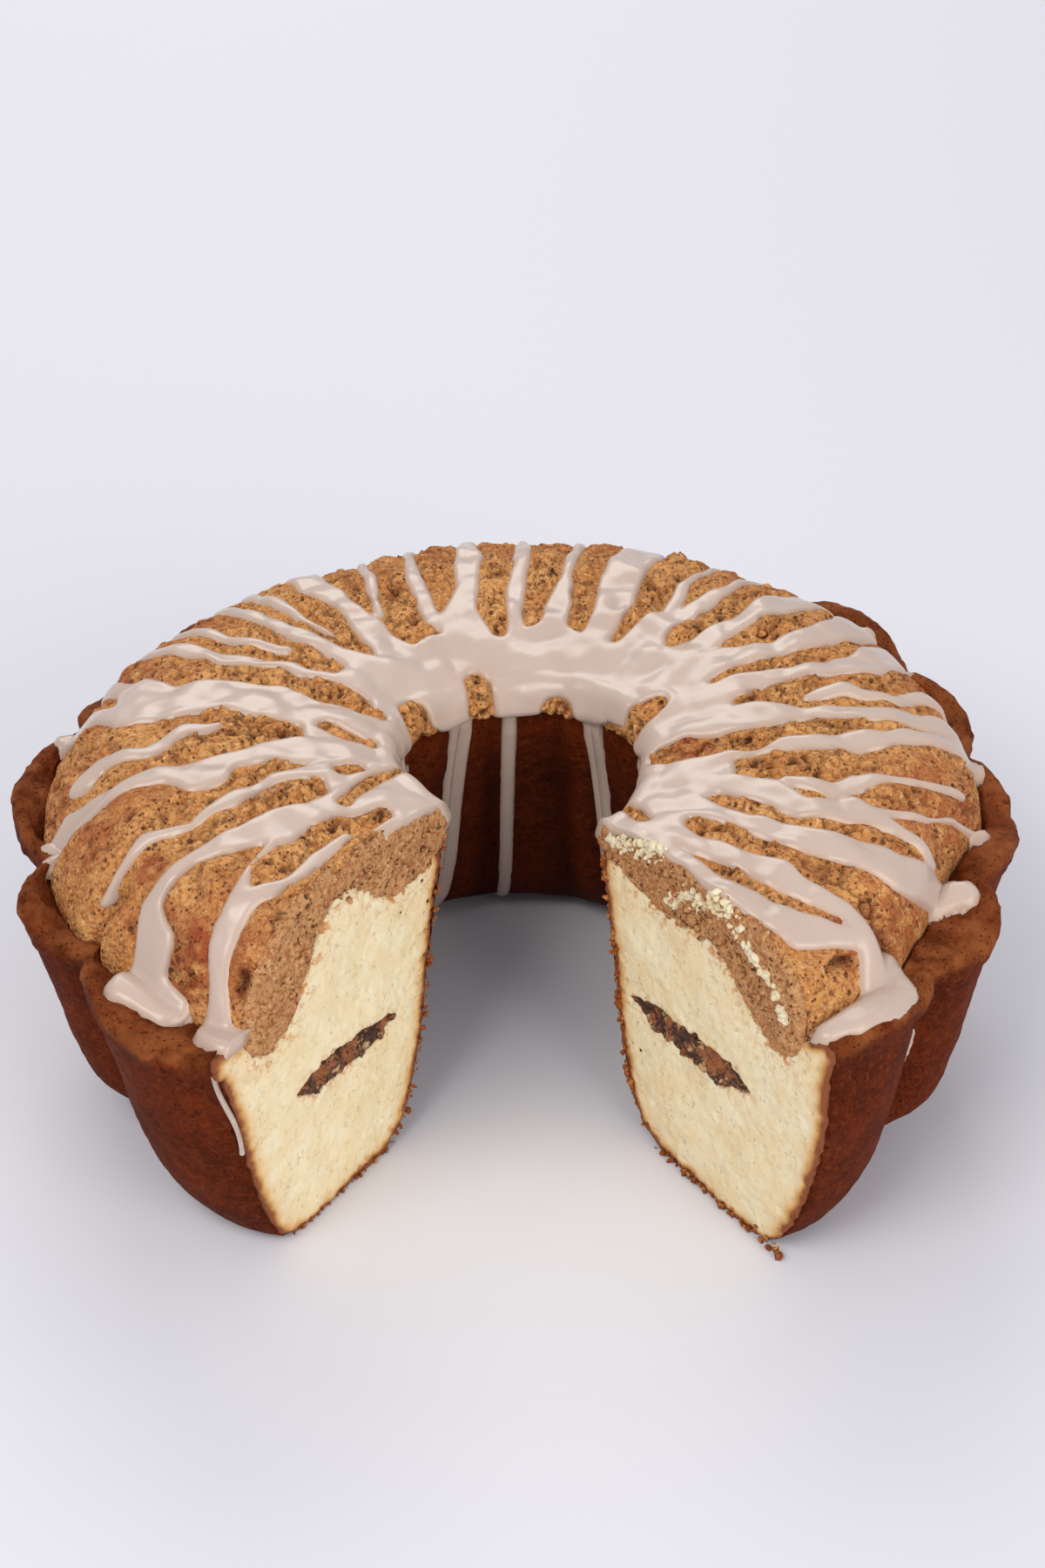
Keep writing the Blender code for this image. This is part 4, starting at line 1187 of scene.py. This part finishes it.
def make_icing():
    """Icing pool, stripes and drips in one poured sheet that dips under the crumbs at its edges."""
    down_the_hole = np.arange(-84.5, -8.0, ICING_HOLE_STEP)
    over_the_dome = np.arange(-8.0, path_length(np.array(127.0)), ICING_STEP)
    lengths = np.concatenate((down_the_hole, over_the_dome))
    angles = even_angles(ICING_TURN, 0.02)
    length, angle = np.meshgrid(lengths, angles)
    radius, height = carrying_surface(length, angle)
    points = place(radius, angle, height)
    normal = facing(points)
    beyond = dome_skin(length, angle)[0] - outer_radius(angle, RIM_HEIGHT) - ICING_OVERHANG
    gap = np.maximum(icing_gap(length, angle), beyond + 0.6 * noise_at(points, 9.0, 7.0))
    deep = np.clip(-gap / size_of("icing_edge"), 0.0, 1.0)
    crown = size_of("icing_depth") * np.sqrt(1.0 - (1.0 - deep) ** 2)
    crown = crown * np.where(length < -8.0, 0.75, 1.0)
    bed = streusel_bed(points) * smooth_step((length + 8.0) / 8.0)
    bed = bed * smooth_step((PATH_SHOULDER + 2.0 - length) / 6.0)
    rise = np.where(gap < 0.0, crown, -2.0 * gap) + bed
    top = points + normal * rise[..., None] * MM
    below = points - normal * 2.6 * MM
    bm = bmesh.new()
    panel(bm, top, below, gap < 0.5, thin=0.35 * (1.0 - smooth_step(deep)))
    return finished("poured_icing", bm, "sugar_icing", ["streusel_topping"])


def blobs(places, turns, stretches, rough, seed):
    """Many small rough lumps as one mesh: a template turned, stretched and moved once for each."""
    bm = bmesh.new()
    bmesh.ops.create_icosphere(bm, subdivisions=2, radius=1.0)
    ball = np.array([vert.co[:] for vert in bm.verts])
    faces = np.array([[vert.index for vert in face.verts] for face in bm.faces])
    bm.free()
    draw = np.random.default_rng(seed)
    count = len(places)
    shapes = ball[None] * (1.0 + rough * draw.uniform(-1.0, 1.0, (count, len(ball), 1)))
    shapes = shapes * np.asarray(stretches)[:, None, :] * MM
    shapes = np.einsum("nij,nvj->nvi", np.asarray(turns), shapes) + np.asarray(places)[:, None, :]
    faces = faces[None] + np.arange(count)[:, None, None] * len(ball)
    mesh = bpy.data.meshes.new("lumps")
    mesh.from_pydata(shapes.reshape(-1, 3).tolist(), [], faces.reshape(-1, 3).tolist())
    bm = bmesh.new()
    bm.from_mesh(mesh)
    bpy.data.meshes.remove(mesh)
    return bm


def any_turns(count, seed):
    """Rotation matrices with nothing in common."""
    turns = np.linalg.qr(np.random.default_rng(seed).normal(size=(count, 3, 3)))[0]
    return turns * np.sign(np.linalg.det(turns))[:, None, None]


def frame_at(angle):
    """Axes at an angle round the cake: outwards, along the ring and up, as columns."""
    turn = np.radians(angle)
    zero = np.zeros_like(turn)
    out = np.stack((np.sin(turn), -np.cos(turn), zero), -1)
    along = np.stack((np.cos(turn), np.sin(turn), zero), -1)
    return np.stack((out, along, np.broadcast_to((0.0, 0.0, 1.0), out.shape)), -1)


def make_wall_drops():
    """Drops and thin runs of icing on the outer wall, uneven along their way."""
    draw = np.random.default_rng(9)
    places = []
    turns = []
    stretches = []
    for angle, half, high, low in WALL_DROPS:
        steps = max(2, round((high - low) / half / 0.6))
        for i in range(steps + 1):
            share = i / steps
            height = high + (low - high) * share
            turn = angle + 0.3 * math.sin(5.0 * share + angle)
            places.append(place(float(outer_radius(turn, height)) + 0.1, turn, height))
            turns.append(frame_at(np.array(turn)))
            wide = half * (0.5 + 0.5 * share + 0.35 * math.sin(9.0 * share + angle)) * draw.uniform(0.7, 1.15)
            stretches.append((0.8, max(wide, 0.25), 1.35 * half))
    bm = blobs(places, turns, stretches, 0.0, 3)
    return finished("icing_drops", bm, "sugar_icing", [])


def make_loose_streusel():
    """Nuggets of streusel lying on the dome, closest together near the hole."""
    draw = np.random.default_rng(11)
    angle = draw.uniform(CUT_RIGHT + 1.5, CUT_LEFT - 1.5, NUGGETS)
    length = draw.beta(1.1, 1.6, NUGGETS) * (PATH_SHOULDER - 4.0) + 1.0
    radius, height = dome_skin(length, angle)
    bare = icing_gap(length, angle) > 0.8
    points = place(radius, angle, height)
    height = height + crumb_rise(points, radius, length, angle)[0] - 0.3
    big = draw.uniform(0.8, 2.1, NUGGETS) * (1.0 - 0.4 * smooth_step((radius - 60.0) / 40.0))
    stretches = big[:, None] * draw.uniform(0.7, 1.2, (NUGGETS, 3))
    places = place(radius, angle, height)
    bm = blobs(places[bare], any_turns(NUGGETS, 5)[bare], stretches[bare], 0.16, 6)
    piece = finished("streusel_nuggets", bm, "baked_streusel", ["streusel_topping"])
    paint(piece, "toast", toasted(coordinates(piece.data)))
    # The nuggets get no painted shade
    paint(piece, "pit", np.zeros(len(piece.data.vertices)))
    return piece


def cut_crumbs(name, angle, away, lines, share, size, seed, finish, slot):
    """Small crumbs that cling to a cut, strewn along lines of radius, height and reach."""
    draw = np.random.default_rng(seed)
    rows = []
    for line in lines:
        line = np.array(line, float)
        far = np.concatenate(((0.0,), np.cumsum(np.hypot(*np.diff(line[:, :2], axis=0).T))))
        along = draw.uniform(0.0, far[-1], round(share * far[-1] / 100.0))
        rows.append(np.stack([np.interp(along, far, line[:, i]) for i in range(3)], -1))
    table = np.concatenate(rows)
    count = len(table)
    big = size * (0.3 + 0.7 * draw.uniform(0.0, 1.0, count) ** 2.0)
    radius = table[:, 0] + table[:, 2] * draw.normal(0.0, 0.6, count)
    height = np.maximum(table[:, 1] + table[:, 2] * draw.normal(0.0, 0.6, count), big)
    side = frame_at(np.full(count, angle))[..., 1] * away
    places = place(radius, angle, height) + side * (draw.uniform(0.0, 0.7, count) * big)[:, None] * MM
    stretches = big[:, None] * draw.uniform(0.5, 1.3, (count, 3))
    bm = blobs(places, any_turns(count, seed + 1), stretches, 0.24, seed + 2)
    return finished(name, bm, finish, [])


def make_cut_crumbs():
    """Crumbs that the knife dragged over the cuts, and crust that broke along their edges."""
    for row in CUT_CRUMBS:
        cut_crumbs(*row)


def make_floor():
    """Pale floor that the cake stands on."""
    bm = bmesh.new()
    bmesh.ops.create_grid(bm, x_segments=1, y_segments=1, size=FLOOR_HALF)
    mesh = bpy.data.meshes.new("floor")
    bm.to_mesh(mesh)
    bm.free()
    material, tree = new_finish("pale_floor")
    shader = tree.nodes["Principled BSDF"]
    shader.inputs["Base Color"].default_value = (*colours().floor, 1.0)
    shader.inputs["Roughness"].default_value = 0.6
    shader.inputs["Specular IOR Level"].default_value = 0.2
    mesh.materials.append(material)
    floor = bpy.data.objects.new("floor", mesh)
    bpy.context.scene.collection.objects.link(floor)


def make_lights():
    """Daylight from all round, and soft lamps from the upper left, the right and behind."""
    scene = bpy.context.scene
    world = bpy.data.worlds.new("daylight")
    world.use_nodes = True
    sky = world.node_tree.nodes["Background"]
    sky.inputs["Color"].default_value = (*colours().sky, 1.0)
    sky.inputs["Strength"].default_value = SKY_STRENGTH
    scene.world = world
    for name, power, size, place_at, target in LAMPS:
        lamp = bpy.data.lights.new(name, "AREA")
        lamp.energy = power
        lamp.size = size
        lamp.color = colours().lamp
        holder = bpy.data.objects.new(name, lamp)
        holder.location = place_at
        holder.rotation_euler = (Vector(target) - Vector(place_at)).to_track_quat("-Z", "Y").to_euler()
        scene.collection.objects.link(holder)


def make_camera():
    """Camera that looks down on the front of the cake."""
    scene = bpy.context.scene
    camera = bpy.data.cameras.new("camera")
    camera.lens = CAMERA_LENS
    camera.sensor_width = 36.0
    holder = bpy.data.objects.new("camera", camera)
    down = math.radians(CAMERA_DOWN)
    back = Vector((0.0, -math.cos(down), math.sin(down)))
    holder.location = Vector(CAMERA_TARGET) + back * CAMERA_DISTANCE
    turn = (-back).to_track_quat("-Z", "Y")
    holder.rotation_mode = "QUATERNION"
    holder.rotation_quaternion = turn @ Quaternion((0.0, 0.0, 1.0), math.radians(CAMERA_ROLL))
    scene.collection.objects.link(holder)
    scene.camera = holder
    scene.view_settings.view_transform = "Standard"


# Add-on

def srgb(red, green, blue):
    """Linear colour from everyday values of 0 to 255."""
    shares = (red / 255.0, green / 255.0, blue / 255.0)
    return tuple(s / 12.92 if s <= 0.04045 else ((s + 0.055) / 1.055) ** 2.4 for s in shares)


def length_property(name, text, value):
    """Size in millimetres that a user can change."""
    return FloatProperty(name=name, description=text, default=value * MM, min=0.0, precision=5,
                         subtype="DISTANCE", unit="LENGTH")


def colour_property(name, text, *value):
    """Colour that a user can change."""
    return FloatVectorProperty(name=name, description=text, default=srgb(*value), min=0.0, max=1.0,
                               subtype="COLOR")


class CakeSizes(bpy.types.PropertyGroup):
    """Sizes of the cake's details."""
    nugget: length_property("Nugget", "Width of the streusel's crumbs near the hole", 6.5)
    lump: length_property("Lump", "Width of the streusel's lumps near the rim", 17.0)
    lip: length_property("Lip", "How far the crust's edge puffs out", 0.4)
    grain: length_property("Grain", "Distance between the points of the cut faces", 0.65)
    icing_depth: length_property("Icing depth", "Thickness of the icing at its middle", 1.15)
    icing_edge: length_property("Icing edge", "Width over which the icing rounds off", 1.7)


class CakeColours(bpy.types.PropertyGroup):
    """Colours of the cake's surfaces."""
    crust_dark: colour_property("Dark crust", "Deepest brown of the crust", 62, 21, 6)
    crust: colour_property("Crust", "Middle brown of the crust", 108, 41, 13)
    crust_light: colour_property("Light crust", "Crust along its edges", 150, 86, 46)
    crust_cut: colour_property("Cut crust", "Crust where it is cut", 138, 72, 34)
    # Painted shade of the hole's wall
    crust_hole_shade: colour_property("Crust in the hole", "Red brown of the hole's wall", 50, 17, 8)
    crumb: colour_property("Crumb", "Pale crumb", 250, 236, 200)
    crumb_shade: colour_property("Crumb shade", "Crumb in its pores", 242, 220, 174)
    crumb_edge: colour_property("Crumb edge", "Crumb next to the crust", 226, 174, 98)
    streusel: colour_property("Streusel", "Baked streusel", 214, 146, 82)
    streusel_light: colour_property("Light streusel", "Paler streusel", 234, 172, 104)
    streusel_grain: colour_property("Streusel grain", "Darker grains in the streusel", 160, 92, 48)
    streusel_pale: colour_property("Pale grain", "Palest grains in the streusel", 252, 214, 156)
    streusel_inside: colour_property("Streusel inside", "Streusel where it is cut", 190, 146, 106)
    streusel_toast: colour_property("Toasted streusel", "Redder baked patches", 158, 72, 38)
    # Painted shade of the streusel's cracks, pits and hollows
    streusel_pit: colour_property("Streusel crack", "Cracks between the crumbs", 84, 36, 16)
    icing: colour_property("Icing", "Sugar icing", 202, 181, 166)
    icing_shade: colour_property("Icing shade", "Icing in its duller places", 193, 169, 153)
    icing_thin: colour_property("Thin icing", "Icing where the streusel shows through", 190, 158, 132)
    cinnamon: colour_property("Cinnamon", "Amber lumps of the filling", 158, 92, 44)
    cinnamon_pale: colour_property("Pale cinnamon", "Sugary lumps of the filling", 222, 180, 126)
    cinnamon_dark: colour_property("Dark cinnamon", "Darkest filling", 64, 30, 14)
    floor: colour_property("Floor", "Pale floor", 226, 226, 232)
    sky: colour_property("Sky", "Light from all round", 240, 244, 255)
    lamp: colour_property("Lamp", "Light of the lamps", 255, 250, 244)


class CAKE_OT_body(bpy.types.Operator):
    """Bakes the fluted crumb body with its crust"""
    bl_idname = "cake.body"
    bl_label = "Body"

    def execute(self, context):
        make_body()
        return {"FINISHED"}


class CAKE_OT_cut_faces(bpy.types.Operator):
    """Tears the crumb, streusel and ribbon at both cuts"""
    bl_idname = "cake.cut_faces"
    bl_label = "Cut faces"

    def execute(self, context):
        make_cut_faces()
        return {"FINISHED"}


class CAKE_OT_ribbon(bpy.types.Operator):
    """Lays the cinnamon ribbon through the body"""
    bl_idname = "cake.ribbon"
    bl_label = "Cinnamon ribbon"

    def execute(self, context):
        make_ribbon()
        return {"FINISHED"}


class CAKE_OT_streusel(bpy.types.Operator):
    """Heaps the streusel ring on the body"""
    bl_idname = "cake.streusel"
    bl_label = "Streusel"

    def execute(self, context):
        make_streusel()
        return {"FINISHED"}


class CAKE_OT_nuggets(bpy.types.Operator):
    """Scatters nuggets of streusel over the dome"""
    bl_idname = "cake.nuggets"
    bl_label = "Streusel nuggets"

    def execute(self, context):
        make_loose_streusel()
        return {"FINISHED"}


class CAKE_OT_icing(bpy.types.Operator):
    """Pours the icing over the streusel and down the hole"""
    bl_idname = "cake.icing"
    bl_label = "Icing"

    def execute(self, context):
        make_icing()
        return {"FINISHED"}


class CAKE_OT_wall_drops(bpy.types.Operator):
    """Sets drops of icing on the outer wall"""
    bl_idname = "cake.wall_drops"
    bl_label = "Icing drops"

    def execute(self, context):
        make_wall_drops()
        return {"FINISHED"}


class CAKE_OT_cut_crumbs(bpy.types.Operator):
    """Scatters crumbs over the cut faces"""
    bl_idname = "cake.cut_crumbs"
    bl_label = "Crumbs on the cuts"

    def execute(self, context):
        make_cut_crumbs()
        return {"FINISHED"}


class CAKE_OT_stage(bpy.types.Operator):
    """Sets the floor, the lights and the camera"""
    bl_idname = "cake.stage"
    bl_label = "Stage"

    def execute(self, context):
        make_floor()
        make_lights()
        make_camera()
        return {"FINISHED"}


OPERATORS = (CAKE_OT_body, CAKE_OT_cut_faces, CAKE_OT_ribbon, CAKE_OT_streusel, CAKE_OT_nuggets,
             CAKE_OT_icing, CAKE_OT_wall_drops, CAKE_OT_cut_crumbs, CAKE_OT_stage)


class CAKE_PT_bakery(bpy.types.Panel):
    """Lists the steps that bake the cake"""
    bl_idname = "CAKE_PT_bakery"
    bl_label = "Streusel ring cake"
    bl_space_type = "VIEW_3D"
    bl_region_type = "UI"
    bl_category = "Cake"

    def draw(self, context):
        for operator in OPERATORS:
            self.layout.operator(operator.bl_idname)
        for group in (context.scene.cake_sizes, context.scene.cake_colours):
            for name in group.__annotations__:
                self.layout.prop(group, name)


CLASSES = (CakeSizes, CakeColours, *OPERATORS, CAKE_PT_bakery)


def register():
    for each in CLASSES:
        bpy.utils.register_class(each)
    bpy.types.Scene.cake_sizes = PointerProperty(type=CakeSizes)
    bpy.types.Scene.cake_colours = PointerProperty(type=CakeColours)


def unregister():
    del bpy.types.Scene.cake_colours
    del bpy.types.Scene.cake_sizes
    for each in reversed(CLASSES):
        bpy.utils.unregister_class(each)


def main():
    """Bakes the cake piece by piece."""
    register()
    bpy.ops.cake.body()
    bpy.ops.cake.cut_faces()
    bpy.ops.cake.ribbon()
    bpy.ops.cake.streusel()
    bpy.ops.cake.nuggets()
    bpy.ops.cake.icing()
    bpy.ops.cake.wall_drops()
    bpy.ops.cake.cut_crumbs()
    bpy.ops.cake.stage()


if __name__ == "__main__":
    main()
